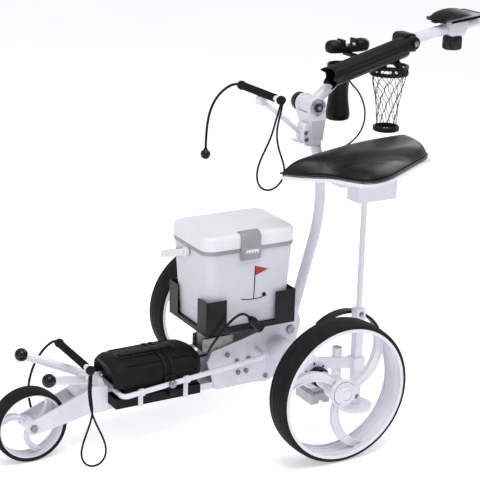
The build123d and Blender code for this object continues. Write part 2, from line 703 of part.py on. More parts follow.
GRIP_X = HANDLE_END_X + GRIP_R
GRIP_Z = 907.0
HEAD_X = (-668.0, -592.0)
HEAD_Z = (884.0, 922.0)
DIAL = (-612.0, -11.0)
BUTTON = (-645.0, 21.0)
with BuildPart() as handle_grips:
    cylinder_y(GRIP_X, GRIP_Z, GRIP_R, -130, 130)
    fillet(handle_grips.edges().filter_by(GeomType.CIRCLE), 4)
save(handle_grips, "handle_grips")

with BuildPart() as control_head:
    block(HEAD_X, (-30, 30), HEAD_Z)
    fillet(control_head.edges().filter_by(Axis.Z), 12)
    block((GRIP_X, HEAD_X[0] + 20), (-16, 16), (GRIP_Z - 15, GRIP_Z + 15))
    add(handle_tube.part, mode=Mode.SUBTRACT)
    add(handle_grips.part, mode=Mode.SUBTRACT)
    # spindle hole and button pocket
    with BuildSketch(Plane.XY.offset(908)):
        with Locations(DIAL):
            Circle(3.0 + FIT)
        with Locations(BUTTON):
            Circle(7.0 + FIT)
    extrude(amount=40, mode=Mode.SUBTRACT)
save(control_head, "control_head")

with BuildPart() as speed_dial:
    with BuildSketch(Plane.XY.offset(HEAD_Z[1] + 0.5)):
        with Locations(DIAL):
            Circle(15)
    extrude(amount=10)
    fillet(speed_dial.faces().sort_by(Axis.Z)[-1].edges(), 2)
    with BuildSketch(Plane.XY.offset(910)):
        with Locations(DIAL):
            Circle(3.0)
    extrude(amount=14)
save(speed_dial, "speed_dial")

with BuildPart() as power_button:
    with BuildSketch(Plane.XY.offset(912)):
        with Locations(BUTTON):
            Circle(7.0)
    extrude(amount=13)
save(power_button, "power_button")

# ---------------------------------------------------------------- accessories on the handle
PHONE = (-210.0, -45.0)
CUP = (-200.0, -60.0)
CUP_Z = (674.0, 807.0)
NET_PIVOT = (-298.0, 820.0)
UMBRELLA_PIVOT = (-331.0, 860.0)
UMBRELLA_Y = 40.0
UMBRELLA_OPEN = (-114.0, 801.0)
UMBRELLA_R = 24.5

with BuildPart() as cup_holder:
    with BuildSketch(Plane(origin=(CUP[0], CUP[1], 0), x_dir=(1, 0, 0), z_dir=(0, -1, 0))):
        Polygon((0, 674), (28, 674), (23, 745), (28, 807), (25.5, 807), (20.5, 745), (25, 678), (0, 678),
                align=None)
    revolve(axis=Axis((CUP[0], CUP[1], 0), (0, 0, 1)))
save(cup_holder, "cup_holder")

with BuildPart() as accessory_clamps:
    # phone cradle clamp, arm and upright pin
    phone_z = handle_height(PHONE[0])
    block((PHONE[0] - 10, PHONE[0] + 10), (-17, 17), (phone_z - 17, phone_z + 20))
    block((PHONE[0] - 8, PHONE[0] + 8), (-53, 0), (phone_z + 15, phone_z + 21))
    with BuildSketch(Plane.XY.offset(phone_z + 20)):
        with Locations(PHONE):
            Circle(4.0)
    extrude(amount=14)
    # cup bracket
    block((CUP[0] - 9, CUP[0] + 9), (-36, -14), (phone_z - 24, phone_z - 8))
    block((CUP[0] - 9, CUP[0] + 9), (-24, 0), (phone_z - 22, phone_z - 4))
    # umbrella clamp with its pivot bolt
    clamp_z = handle_height(UMBRELLA_PIVOT[0])
    block((UMBRELLA_PIVOT[0] - 16, UMBRELLA_PIVOT[0] + 16), (-17, 31.6), (clamp_z - 15, clamp_z + 20))
    cylinder_y(*UMBRELLA_PIVOT, 4.0, 31, 49)
    cylinder_y(*UMBRELLA_PIVOT, 7.5, 48.5, 53)
    # net clamp with its pivot pin
    net_z = handle_height(NET_PIVOT[0])
    block((NET_PIVOT[0] - 10, NET_PIVOT[0] + 10), (-16.8, 16.8), (NET_PIVOT[1] - 9, net_z))
    cylinder_y(*NET_PIVOT, 3.0, -22, 22)
    add(handle_tube.part, mode=Mode.SUBTRACT)
    add(cup_holder.part, mode=Mode.SUBTRACT)
save(accessory_clamps, "accessory_clamps")

umbrella_dir = Vector(UMBRELLA_OPEN[0] - UMBRELLA_PIVOT[0], 0, UMBRELLA_OPEN[1] - UMBRELLA_PIVOT[1])
UMBRELLA_REACH = umbrella_dir.length
TUBE_LENGTH = UMBRELLA_REACH - 24
umbrella_dir = umbrella_dir.normalized()
pivot_point = Vector(UMBRELLA_PIVOT[0], UMBRELLA_Y, UMBRELLA_PIVOT[1])
with BuildPart() as umbrella_holder:
    with BuildSketch(Plane(origin=pivot_point + umbrella_dir * 24, x_dir=(0, 1, 0), z_dir=umbrella_dir)):
        Circle(UMBRELLA_R)
    extrude(amount=TUBE_LENGTH)
    with BuildSketch(Plane(origin=pivot_point + umbrella_dir * 34, x_dir=(0, 1, 0), z_dir=umbrella_dir)):
        Circle(UMBRELLA_R - 2.5)
    extrude(amount=TUBE_LENGTH, mode=Mode.SUBTRACT)
    # lug on the pivot bolt
    with BuildSketch(Plane(origin=pivot_point, x_dir=umbrella_dir, z_dir=(0, -1, 0))):
        Circle(10)
        with Locations((15, 0)):
            Rectangle(30, 18)
        Circle(4.0 + FIT, mode=Mode.SUBTRACT)
    extrude(amount=8, both=True)
    add(accessory_clamps.part, mode=Mode.SUBTRACT)
save(umbrella_holder, "umbrella_holder")

CRADLE_LOW = handle_height(PHONE[0]) + 21.5
with BuildPart() as phone_cradle:
    with BuildSketch(Plane.XY.offset(CRADLE_LOW)) as cradle_face:
        with Locations(PHONE):
            Rectangle(96, 34)
        with Locations((PHONE[0] - 36, PHONE[1] - 2), (PHONE[0] + 36, PHONE[1] - 2)):
            Circle(20)
    extrude(amount=30)
    with BuildSketch(Plane.XY.offset(CRADLE_LOW)):
        with Locations(PHONE):
            Circle(4.0 + FIT)
    extrude(amount=14, mode=Mode.SUBTRACT)
save(phone_cradle, "phone_cradle")

RING_Z = (783.0, 805.0)
FOOT_RING_Z = (650.0, 662.0)
NET_MID = (-298.0, -306.0)
net_axis = Axis((NET_MID[0], 0, 0), (0, 0, 1))
net_plane = Plane(origin=(NET_MID[0], 0, 0), x_dir=(1, 0, 0), z_dir=(0, -1, 0))
with BuildPart() as net_rings:
    with BuildSketch(net_plane):
        with Locations((41.5, sum(RING_Z) / 2)):
            RectangleRounded(7, RING_Z[1] - RING_Z[0], 2)
        with Locations((27.5, sum(FOOT_RING_Z) / 2)):
            RectangleRounded(7, FOOT_RING_Z[1] - FOOT_RING_Z[0], 2)
    revolve(axis=net_axis)
    with BuildSketch(across_x(NET_PIVOT[0])):
        for side in (1, -1):
            Polygon(
                (side * 17.2, 828), (side * 21.5, 828), (side * 44, 804), (side * 44, 792),
                (side * 40, 792), (side * 40, 802), (side * 17.2, 812), align=None,
            )
    extrude(amount=6, both=True)
    cylinder_y(*NET_PIVOT, 3.0 + FIT, -30, 30, mode=Mode.SUBTRACT)
save(net_rings, "net_rings")

with BuildPart() as net_mesh:
    with BuildSketch(net_plane):
        with BuildLine():
            Spline((43, 783), (34, 748), (27, 705), (25, 680), (26, 662))
            Line((26, 662), (24.5, 662))
            Spline((24.5, 662), (23.5, 680), (25.5, 705), (32.5, 748), (41.5, 783))
            Line((41.5, 783), (43, 783))
        make_face()
    revolve(axis=net_axis)
save(net_mesh, "net_mesh")

CARD_X = -477.0
card_z = handle_height(CARD_X)
with BuildPart() as scorecard_plate:
    block((CARD_X - 15, CARD_X + 15), (-18, 18), (card_z - 19, card_z + 23))
    with BuildSketch(Plane(origin=(CARD_X - 4, 0, card_z + 22), x_dir=(1, 0, -0.12), z_dir=(0.12, 0, 1))):
        RectangleRounded(112, 92, 8)
    extrude(amount=4)
    add(handle_tube.part, mode=Mode.SUBTRACT)
save(scorecard_plate, "scorecard_plate")

with BuildPart() as scorecard_knob:
    with BuildSketch(Plane.XY.offset(card_z - 19.4 - 33)):
        with Locations((CARD_X + 2, 0)):
            Circle(23)
    extrude(amount=33)
save(scorecard_knob, "scorecard_knob")

CLIP_PIN = (-432.0, card_z + 30.0)
with BuildPart() as scorecard_clip:
    with BuildSketch(side_plane(0)):
        with BuildLine():
            low = [(-424, card_z + 22), (-440, card_z + 33), (-470, card_z + 36.5), (-512, card_z + 34)]
            high = [(-512, card_z + 36.5), (-470, card_z + 44), (-440, card_z + 40), (-422, card_z + 26)]
            Spline(*low)
            Line(low[-1], high[0])
            Spline(*high)
            Line(high[-1], low[0])
        make_face()
    extrude(amount=34, both=True)
save(scorecard_clip, "scorecard_clip")

# ---------------------------------------------------------------- cords
# Each route starts where its cord leaves a knot or gland.
UPPER_LOOP = [
    (40, 85, 760), (42, 83, 743), (45, 80, 724), (48, 78, 702), (46, 77, 679), (40, 77, 656), (31, 77, 634),
    (24, 77, 612), (27, 77, 590), (43, 78, 573), (64, 79, 567), (84, 80, 574), (96, 81, 592), (98, 82, 614),
    (92, 83, 638), (80, 84, 662), (68, 84, 685), (60, 84, 707), (56, 86, 727), (51, 88, 745), (48, 90, 761),
]
UPPER_TAIL = [
    (45, -94, 770), (50, -102, 771), (60, -114, 765), (68, -132, 751), (73, -151, 732), (76, -168, 709),
    (77, -181, 683), (77, -189, 655), (77, -193, 626), (77, -194, 598),
]
LOWER_LOOP = [
    (497, 85, 211), (498, 85, 190), (500, 86, 170), (499, 88, 150), (498, 91, 129), (503, 94, 108),
    (514, 98, 86), (526, 102, 62), (533, 105, 38), (527, 108, 17), (511, 109, 6), (491, 109, 7),
    (477, 109, 21), (474, 108, 43), (480, 106, 66), (489, 103, 88), (497, 100, 108), (503, 97, 129),
    (506, 94, 150), (507, 92, 170), (506, 91, 189), (504, 90, 211),
]
LOWER_TAIL = [
    (500, -94, 222), (503, -101, 223), (509, -112, 216), (515, -131, 199), (522, -153, 173), (528, -173, 142),
    (533, -187, 108), (536, -193, 75), (536, -188, 48), (534, -178, 26),
]
BATTERY_CABLE = [
    (213, 30, 180), (204, 30, 180), (195, 36, 183), (192, 48, 190), (198, 64, 200), (208, 79, 210),
    (212, 93, 225), (203, 101, 245), (186, 103, 266), (167, 104, 285), (148, 104, 297), (130, 104, 297),
    (118, 103, 284),
]
CONTROL_CABLE = [
    (-184, 0, 784), (-194, 0, 770), (-212, 0, 754), (-228, 0, 730), (-237, 0, 702), (-236, 0, 673),
    (-223, 0, 648), (-201, 0, 630), (-174, 0, 619), (-147, 0, 613), (-120, 0, 611),
]
CORD_ROUTES = (
    ("upper_strap_loop", UPPER_LOOP, 2.3),
    ("upper_strap_tail", UPPER_TAIL, 3.0),
    ("lower_strap_loop", LOWER_LOOP, 2.3),
    ("lower_strap_tail", LOWER_TAIL, 3.0),
    ("battery_cable", BATTERY_CABLE, 3.0),
    ("control_cable", CONTROL_CABLE, 2.0),
)
for name, route, radius in CORD_ROUTES:
    with BuildPart() as cord:
        radii = corner_radii(route)
        with BuildLine() as cord_line:
            along(route, radii)
        cord_start = Vector(*route[0])
        with BuildSketch(Plane(origin=cord_start, z_dir=Vector(*route[1]) - cord_start)):
            Circle(radius)
        sweep(path=cord_line.line)
        if name == "control_cable":
            add(post.part, mode=Mode.SUBTRACT)
    save(cord, name)
    length = sum(edge.length for edge in cord_line.edges())
    runs = [(Vector(*b) - Vector(*a)).length for a, b in zip(route, route[1:])]
    print(name, "length", round(length), "runs", [round(r) for r in runs])
    print("  radii in diameters", [round(r / (2 * radius), 1) for r in radii])
    print("  volume share", round(cord.part.volume / (pi * radius**2 * length), 3))

KNOT_R = 11.5
KNOT_Y = (80.0, 94.0)
BALL_R = 12.0
with BuildPart() as strap_knots:
    # a knot on each end of both bars, and the balls on the tails
    for bar in (LOWER_BAR, UPPER_BAR):
        for side in (1, -1):
            cylinder_y(*bar, KNOT_R, side * KNOT_Y[0], side * KNOT_Y[1])
    for tail in (UPPER_TAIL, LOWER_TAIL):
        last = Vector(*tail[-1])
        ball_dir = (last - Vector(*tail[-2])).normalized()
        with Locations(last + ball_dir * (BALL_R - 1.0)):
            Sphere(BALL_R)
save(strap_knots, "strap_knots")

with BuildPart() as battery_plug:
    plug_start = Vector(*BATTERY_CABLE[-1])
    plug_dir = plug_start - Vector(*BATTERY_CABLE[-2])
    with BuildSketch(Plane(origin=plug_start, z_dir=plug_dir)):
        Circle(6.0)
    extrude(amount=10, taper=-20)
    with BuildSketch(Plane(origin=plug_start + plug_dir.normalized() * 10, z_dir=plug_dir)):
        Circle(10.0)
    extrude(amount=34)
save(battery_plug, "battery_plug")
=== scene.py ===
import json
from math import cos, pi, radians, sin

import bmesh
import bpy
from mathutils import Matrix, Vector
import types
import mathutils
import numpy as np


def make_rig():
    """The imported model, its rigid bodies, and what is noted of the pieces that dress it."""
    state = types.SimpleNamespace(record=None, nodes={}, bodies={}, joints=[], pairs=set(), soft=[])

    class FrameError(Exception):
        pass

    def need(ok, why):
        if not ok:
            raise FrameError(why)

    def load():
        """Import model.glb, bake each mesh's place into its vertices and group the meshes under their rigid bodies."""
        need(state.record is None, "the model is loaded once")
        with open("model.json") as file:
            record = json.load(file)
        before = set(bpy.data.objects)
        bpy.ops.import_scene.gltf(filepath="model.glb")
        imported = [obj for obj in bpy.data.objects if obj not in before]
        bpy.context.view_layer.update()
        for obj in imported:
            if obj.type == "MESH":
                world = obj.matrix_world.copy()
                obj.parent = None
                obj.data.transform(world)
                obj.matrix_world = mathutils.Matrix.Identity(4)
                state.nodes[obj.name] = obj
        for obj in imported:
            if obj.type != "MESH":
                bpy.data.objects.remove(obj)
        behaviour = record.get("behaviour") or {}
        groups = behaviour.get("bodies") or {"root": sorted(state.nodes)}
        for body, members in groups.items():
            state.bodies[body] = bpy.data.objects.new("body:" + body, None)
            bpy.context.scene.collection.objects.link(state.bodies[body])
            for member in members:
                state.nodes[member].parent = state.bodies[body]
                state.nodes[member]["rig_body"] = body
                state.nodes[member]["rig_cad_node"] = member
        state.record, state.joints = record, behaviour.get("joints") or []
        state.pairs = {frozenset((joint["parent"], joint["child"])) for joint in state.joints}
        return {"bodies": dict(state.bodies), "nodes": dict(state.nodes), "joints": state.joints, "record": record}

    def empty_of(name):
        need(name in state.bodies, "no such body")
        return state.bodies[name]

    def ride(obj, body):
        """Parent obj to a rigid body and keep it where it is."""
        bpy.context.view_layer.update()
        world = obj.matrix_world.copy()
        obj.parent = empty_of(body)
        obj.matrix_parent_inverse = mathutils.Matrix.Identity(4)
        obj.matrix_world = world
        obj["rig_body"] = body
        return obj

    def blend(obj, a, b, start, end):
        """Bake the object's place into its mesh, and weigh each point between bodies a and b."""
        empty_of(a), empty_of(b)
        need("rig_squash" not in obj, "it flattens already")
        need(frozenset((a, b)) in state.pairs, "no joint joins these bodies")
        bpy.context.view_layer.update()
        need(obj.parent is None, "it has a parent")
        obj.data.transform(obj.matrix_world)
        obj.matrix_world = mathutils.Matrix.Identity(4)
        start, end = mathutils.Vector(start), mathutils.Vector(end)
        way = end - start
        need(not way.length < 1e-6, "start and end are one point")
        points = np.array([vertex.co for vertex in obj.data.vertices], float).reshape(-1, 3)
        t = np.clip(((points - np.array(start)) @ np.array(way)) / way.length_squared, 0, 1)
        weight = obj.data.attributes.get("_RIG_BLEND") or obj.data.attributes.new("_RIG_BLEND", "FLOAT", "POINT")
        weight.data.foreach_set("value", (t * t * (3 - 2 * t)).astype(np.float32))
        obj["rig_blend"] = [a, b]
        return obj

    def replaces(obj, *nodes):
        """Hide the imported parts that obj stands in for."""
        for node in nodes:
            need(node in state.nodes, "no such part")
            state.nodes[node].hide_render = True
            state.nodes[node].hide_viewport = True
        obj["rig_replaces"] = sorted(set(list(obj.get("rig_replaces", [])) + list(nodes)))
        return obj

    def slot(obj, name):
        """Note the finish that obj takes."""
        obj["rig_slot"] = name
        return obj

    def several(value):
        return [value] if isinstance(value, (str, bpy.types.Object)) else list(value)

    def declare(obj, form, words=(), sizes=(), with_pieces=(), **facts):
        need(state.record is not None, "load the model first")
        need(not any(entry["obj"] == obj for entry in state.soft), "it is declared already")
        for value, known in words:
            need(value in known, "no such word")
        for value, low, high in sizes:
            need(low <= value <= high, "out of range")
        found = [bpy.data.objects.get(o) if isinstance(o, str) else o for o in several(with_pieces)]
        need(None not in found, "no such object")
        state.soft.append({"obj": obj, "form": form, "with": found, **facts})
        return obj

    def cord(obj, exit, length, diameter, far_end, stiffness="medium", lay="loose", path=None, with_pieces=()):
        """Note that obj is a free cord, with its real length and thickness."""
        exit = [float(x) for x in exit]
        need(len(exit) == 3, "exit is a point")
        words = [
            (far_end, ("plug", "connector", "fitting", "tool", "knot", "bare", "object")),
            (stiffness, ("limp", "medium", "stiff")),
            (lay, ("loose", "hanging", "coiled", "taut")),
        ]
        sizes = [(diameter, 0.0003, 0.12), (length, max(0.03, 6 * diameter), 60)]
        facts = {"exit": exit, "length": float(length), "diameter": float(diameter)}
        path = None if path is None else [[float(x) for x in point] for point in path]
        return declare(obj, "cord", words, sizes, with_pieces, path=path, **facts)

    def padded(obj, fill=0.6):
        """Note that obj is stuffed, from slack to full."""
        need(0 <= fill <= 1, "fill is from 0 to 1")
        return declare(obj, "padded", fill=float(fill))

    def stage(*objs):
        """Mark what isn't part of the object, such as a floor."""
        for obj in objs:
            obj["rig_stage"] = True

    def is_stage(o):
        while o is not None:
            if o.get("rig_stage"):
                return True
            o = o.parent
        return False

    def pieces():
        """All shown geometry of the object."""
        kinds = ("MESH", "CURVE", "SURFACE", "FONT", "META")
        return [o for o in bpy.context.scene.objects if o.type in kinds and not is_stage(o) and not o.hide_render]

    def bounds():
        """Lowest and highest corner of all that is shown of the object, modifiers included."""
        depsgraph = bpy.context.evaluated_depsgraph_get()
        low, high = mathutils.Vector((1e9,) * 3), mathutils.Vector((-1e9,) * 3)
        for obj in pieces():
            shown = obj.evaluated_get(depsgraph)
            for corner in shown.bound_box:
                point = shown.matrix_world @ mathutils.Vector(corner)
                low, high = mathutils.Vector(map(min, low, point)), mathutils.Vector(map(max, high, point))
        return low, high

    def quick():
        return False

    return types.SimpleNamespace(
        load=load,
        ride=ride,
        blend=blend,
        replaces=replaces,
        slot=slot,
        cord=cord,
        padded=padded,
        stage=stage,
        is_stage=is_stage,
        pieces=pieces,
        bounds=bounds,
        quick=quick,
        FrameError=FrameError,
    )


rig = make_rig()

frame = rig.load()
CAD_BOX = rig.bounds()
NODES = frame["nodes"]
MM = 0.001

# ---------------------------------------------------------------- places shared with the CAD
HINGE = (-87, 0, 730)
REAR_AXLE = (0, 0, 162)
X_AXIS, Y_AXIS, Z_AXIS = (1, 0, 0), (0, 1, 0), (0, 0, 1)
UPPER_BAR = Vector((0.045, 0.0, 0.770))
LOWER_BAR = Vector((0.500, 0.0, 0.222))
UMBRELLA_PIVOT = Vector((-0.331, 0.040, 0.860))
UMBRELLA_OPEN = Vector((-0.114, 0.040, 0.801))
COOLER_X = 0.107


# ---------------------------------------------------------------- materials
def linear(hex_colour):
    """sRGB hex to linear RGBA."""
    values = []
    for i in (1, 3, 5):
        c = int(hex_colour[i:i + 2], 16) / 255
        values.append(c / 12.92 if c <= 0.04045 else ((c + 0.055) / 1.055) ** 2.4)
    return (*values, 1.0)


def add_node(mat, kind, settings=None, links=None):
    """Adds a node, sets its properties or sockets and links its inputs."""
    node = mat.node_tree.nodes.new(kind)
    for key, value in (settings or {}).items():
        if isinstance(key, int) or key in node.inputs:
            node.inputs[key].default_value = value
        else:
            setattr(node, key, value)
    for key, source in (links or {}).items():
        mat.node_tree.links.new(source, node.inputs[key])
    return node


def new_material(name):
    """A material with an empty Principled shader and the object's own coordinates."""
    mat = bpy.data.materials.new(name)
    mat.use_nodes = True
    shader = mat.node_tree.nodes["Principled BSDF"]
    place = add_node(mat, "ShaderNodeTexCoord").outputs["Object"]
    return mat, shader, place


def mottle(mat, shader, place, dark, light, size_mm, roughness, spread):
    """Colour and roughness drift slowly over patches of the given size."""
    patches = add_node(
        mat, "ShaderNodeTexNoise", {"Scale": 1000 / size_mm, "Detail": 3.0}, {"Vector": place}
    )
    ramp = add_node(mat, "ShaderNodeValToRGB", None, {"Fac": patches.outputs["Fac"]})
    ramp.color_ramp.elements[0].position = 0.35
    ramp.color_ramp.elements[0].color = linear(dark)
    ramp.color_ramp.elements[1].position = 0.65
    ramp.color_ramp.elements[1].color = linear(light)
    mat.node_tree.links.new(ramp.outputs["Color"], shader.inputs["Base Color"])
    rough = add_node(
        mat, "ShaderNodeMapRange", {"To Min": roughness - spread, "To Max": roughness + spread},
        {"Value": patches.outputs["Fac"]}
    )
    mat.node_tree.links.new(rough.outputs["Result"], shader.inputs["Roughness"])


def relief(mat, shader, height, depth_mm, strength=1.0):
    """Bump of the given depth from a height between 0 and 1."""
    bump = add_node(
        mat, "ShaderNodeBump", {"Distance": depth_mm * MM, "Strength": strength}, {"Height": height}
    )
    mat.node_tree.links.new(bump.outputs["Normal"], shader.inputs["Normal"])


def gloss_enamel(name, dark, light, roughness=0.28, shine=0.5):
    """Stoved gloss enamel on steel and alloy: a faint orange peel under a clear skin."""
    mat, shader, place = new_material(name)
    mottle(mat, shader, place, dark, light, 90, roughness, 0.04)
    peel = add_node(mat, "ShaderNodeTexNoise", {"Scale": 1000 / 3.0, "Detail": 1.0}, {"Vector": place})
    relief(mat, shader, peel.outputs["Fac"], 0.05, 0.5)
    shader.inputs["IOR"].default_value = 1.5
    shader.inputs["Specular IOR Level"].default_value = shine
    shader.inputs["Coat Weight"].default_value = 0.6 * shine
    shader.inputs["Coat Roughness"].default_value = 0.12
    return mat


def moulded_plastic(name, dark, light, roughness, grit_mm=0.9, depth_mm=0.05, shine=0.5):
    """Injection moulded ABS or nylon: a fine spark-eroded texture that softens its gloss."""
    mat, shader, place = new_material(name)
    mottle(mat, shader, place, dark, light, 60, roughness, 0.05)
    grit = add_node(mat, "ShaderNodeTexNoise", {"Scale": 1000 / grit_mm, "Detail": 2.0}, {"Vector": place})
    relief(mat, shader, grit.outputs["Fac"], depth_mm, 0.6)
    shader.inputs["IOR"].default_value = 1.47
    shader.inputs["Specular IOR Level"].default_value = shine
    return mat


def tyre_rubber():
    """Moulded foam rubber tyre: dull black with fine pores and paler scuffs on the tread."""
    mat, shader, place = new_material("tyre_rubber")
    mottle(mat, shader, place, "#0B0B0B", "#181818", 14, 0.7, 0.1)
    pores = add_node(mat, "ShaderNodeTexVoronoi", {"Scale": 1000 / 1.6}, {"Vector": place})
    relief(mat, shader, pores.outputs["Distance"], 0.25, 0.7)
    shader.inputs["Specular IOR Level"].default_value = 0.2
    return mat


def seat_leather():
    """Black coated upholstery leather: pebble grain with a soft sheen on the crowns."""
    mat, shader, place = new_material("seat_leather")
    mottle(mat, shader, place, "#09090A", "#121214", 45, 0.34, 0.06)
    # pebbles are drawn 2.4 mm across, coarser than real grain, so that they show
    pebbles = add_node(
        mat, "ShaderNodeTexVoronoi", {"Scale": 1000 / 2.4, "feature": "F1"}, {"Vector": place}
    )
    creases = add_node(mat, "ShaderNodeTexNoise", {"Scale": 1000 / 22, "Detail": 4.0}, {"Vector": place})
    both = add_node(
        mat, "ShaderNodeMath", {"operation": "MULTIPLY_ADD", 1: 0.35},
        {0: creases.outputs["Fac"], 2: pebbles.outputs["Distance"]}
    )
    relief(mat, shader, both.outputs["Value"], 0.45, 0.6)
    shader.inputs["IOR"].default_value = 1.5
    shader.inputs["Specular IOR Level"].default_value = 0.27
    return mat


def woven_nylon(name, dark, light, thread_mm):
    """Coated nylon cloth: over-and-under threads that break up the highlight."""
    mat, shader, place = new_material(name)
    mottle(mat, shader, place, dark, light, 30, 0.62, 0.08)
    weave = []
    for axis in ("X", "Y"):
        wave = add_node(
            mat, "ShaderNodeTexWave",
            {"bands_direction": axis, "Scale": 1000 / thread_mm / 20, "Distortion": 0.4}, {"Vector": place}
        )
        weave.append(wave.outputs["Fac"])
    cross = add_node(mat, "ShaderNodeMath", {"operation": "MAXIMUM"}, {0: weave[0], 1: weave[1]})
    relief(mat, shader, cross.outputs["Value"], 0.3, 0.5)
    shader.inputs["Specular IOR Level"].default_value = 0.2
    return mat


def plated_steel(name, dark, light, roughness, patch_mm):
    """Zinc plated or galvanised steel: metal with soft crystalline patches."""
    mat, shader, place = new_material(name)
    cells = add_node(mat, "ShaderNodeTexVoronoi", {"Scale": 1000 / patch_mm}, {"Vector": place})
    ramp = add_node(mat, "ShaderNodeValToRGB", None, {"Fac": cells.outputs["Color"]})
    ramp.color_ramp.elements[0].color = linear(dark)
    ramp.color_ramp.elements[1].color = linear(light)
    mat.node_tree.links.new(ramp.outputs["Color"], shader.inputs["Base Color"])
    rough = add_node(
        mat, "ShaderNodeMapRange", {"To Min": roughness - 0.08, "To Max": roughness + 0.08},
        {"Value": cells.outputs["Color"]}
    )
    mat.node_tree.links.new(rough.outputs["Result"], shader.inputs["Roughness"])
    shader.inputs["Metallic"].default_value = 1.0
    return mat


def braided_elastic():
    """Braided cover of an elastic cord: small slanting ribs."""
    mat, shader, place = new_material("braided_elastic")
    mottle(mat, shader, place, "#090909", "#161616", 6, 0.72, 0.08)
    ribs = add_node(
        mat, "ShaderNodeTexWave",
        {"bands_direction": "DIAGONAL", "Scale": 1000 / 1.8 / 20, "Distortion": 0.5}, {"Vector": place}
    )
    relief(mat, shader, ribs.outputs["Fac"], 0.3, 0.7)
    shader.inputs["Specular IOR Level"].default_value = 0.2
    return mat


def foam_sleeve():
    """Closed-cell foam: soft, very dull, with visible cells."""
    mat, shader, place = new_material("foam_sleeve")
    mottle(mat, shader, place, "#0D0D0D", "#181819", 8, 0.88, 0.05)
    cells = add_node(mat, "ShaderNodeTexVoronoi", {"Scale": 1000 / 1.2}, {"Vector": place})
    relief(mat, shader, cells.outputs["Distance"], 0.3, 0.8)
    shader.inputs["Specular IOR Level"].default_value = 0.15
    return mat


WHITE_ENAMEL = gloss_enamel("white_gloss_enamel", "#D6D6E0", "#DCDCE5")
RIM_WHITE = moulded_plastic("white_moulded_nylon", "#D8D8E1", "#DEDEE6", 0.34, 1.2, 0.03)
TYRE = tyre_rubber()
LEATHER = seat_leather()
BLACK_MOULDING = moulded_plastic("black_moulded_nylon", "#0A0A0B", "#111112", 0.4, shine=0.24)
BLACK_GLOSS = moulded_plastic("black_gloss_knob", "#060607", "#0D0D0E", 0.2, 2.0, 0.02, shine=0.4)
BAG_CLOTH = woven_nylon("black_coated_nylon", "#090909", "#121213", 1.4)
WEBBING = woven_nylon("black_webbing", "#0B0B0C", "#161617", 1.1)
ELASTIC = braided_elastic()
FOAM = foam_sleeve()
CABLE_PVC = moulded_plastic("black_soft_pvc", "#0A0A0A", "#131313", 0.38, 3.0, 0.02, shine=0.25)
TRAY_BLACK = gloss_enamel("black_powder_coat", "#0B0B0C", "#131314", 0.5, shine=0.22)
GALVANISED = plated_steel("galvanised_steel", "#7E7F7B", "#A5A6A1", 0.42, 9.0)
BOLT_STEEL = plated_steel("zinc_plated_bolt", "#6E7076", "#9DA0A6", 0.3, 3.0)
CAST_GREY = moulded_plastic("grey_cast_alloy", "#A9AAAC", "#BDBEC1", 0.5, 1.5, 0.08)
COOLER_SHELL = moulded_plastic("pale_grey_abs", "#C9CAD1", "#CDCED5", 0.36, 0.8, 0.03)
COOLER_WHITE = moulded_plastic("white_abs", "#DADBE0", "#DEDFE3", 0.32, 0.8, 0.03)
GREY_ABS = moulded_plastic("mid_grey_abs", "#83878B", "#94989B", 0.4, 0.9, 0.03)
CARD_GREY = moulded_plastic("silver_grey_plate", "#8A8D92", "#A0A3A8", 0.35, 1.0, 0.02)
RED_ABS = moulded_plastic("red_button_abs", "#9C1F1B", "#B02A22", 0.35)

# every CAD node's own material
for finish, names in (
    (BOLT_STEEL, "frame_bolts"),
    (WHITE_ENAMEL, (
        "front_frame battery_rails junction_plate_left junction_plate_right axle_housing "
        "motor_left motor_right post rear_arm lower_cradle bag_bracket seat_bracket "
        "seat_leg_upper seat_leg_lower handle_tube"
    )),
    (CAST_GREY, "controller_box"),
    (BAG_CLOTH, "battery_pan battery_case"),
    (WEBBING, "battery_strap"),
    (GALVANISED, "tray_bracket"),
    (TRAY_BLACK, "cooler_tray"),
    (FOAM, "lower_strap_bar upper_strap_bar handle_grips"),
    (LEATHER, "seat_pad"),
    (BLACK_MOULDING, (
        "wheel_guard wheel_collar_left wheel_collar_right control_head speed_dial "
        "accessory_clamps umbrella_holder cup_holder phone_cradle net_rings scorecard_clip"
    )),
    (TYRE, "rear_tyre_left rear_tyre_right front_tyre"),
    (RIM_WHITE, "rear_rim_left rear_rim_right front_rim"),
    (RED_ABS, "power_button"),
    (BLACK_GLOSS, "hinge_knob scorecard_knob"),
    (ELASTIC, (
        "net_mesh strap_knots upper_strap_loop upper_strap_tail lower_strap_loop lower_strap_tail"
    )),
    (CARD_GREY, "scorecard_plate"),
    (COOLER_SHELL, "cooler_body"),
    (COOLER_WHITE, "cooler_lid cooler_bail"),
    (GREY_ABS, "cooler_latch"),
    (CABLE_PVC, "battery_plug battery_cable control_cable"),
):
    for node in names.split():
        slots = NODES[node].material_slots
        for entry in slots:
            entry.material = finish
        if not slots:
            NODES[node].data.materials.append(finish)


# ---------------------------------------------------------------- camera, light and floor
CAMERA_AZ = radians(151.11)
CAMERA_EL = radians(18.67)
CAMERA_ROLL = radians(1.09)
CAMERA_DISTANCE = 3.28
AIM = Vector((0.150, 0.0, 0.400))
FOCAL = 108.75
LENS_SHIFT = (0.0495, 0.0364)
SKY_COLOUR = (0.97, 0.975, 1.0, 1.0)
SKY_STRENGTH = 0.58
PAPER_GLOW = 0.42
FLOOR_REACH = 24.0


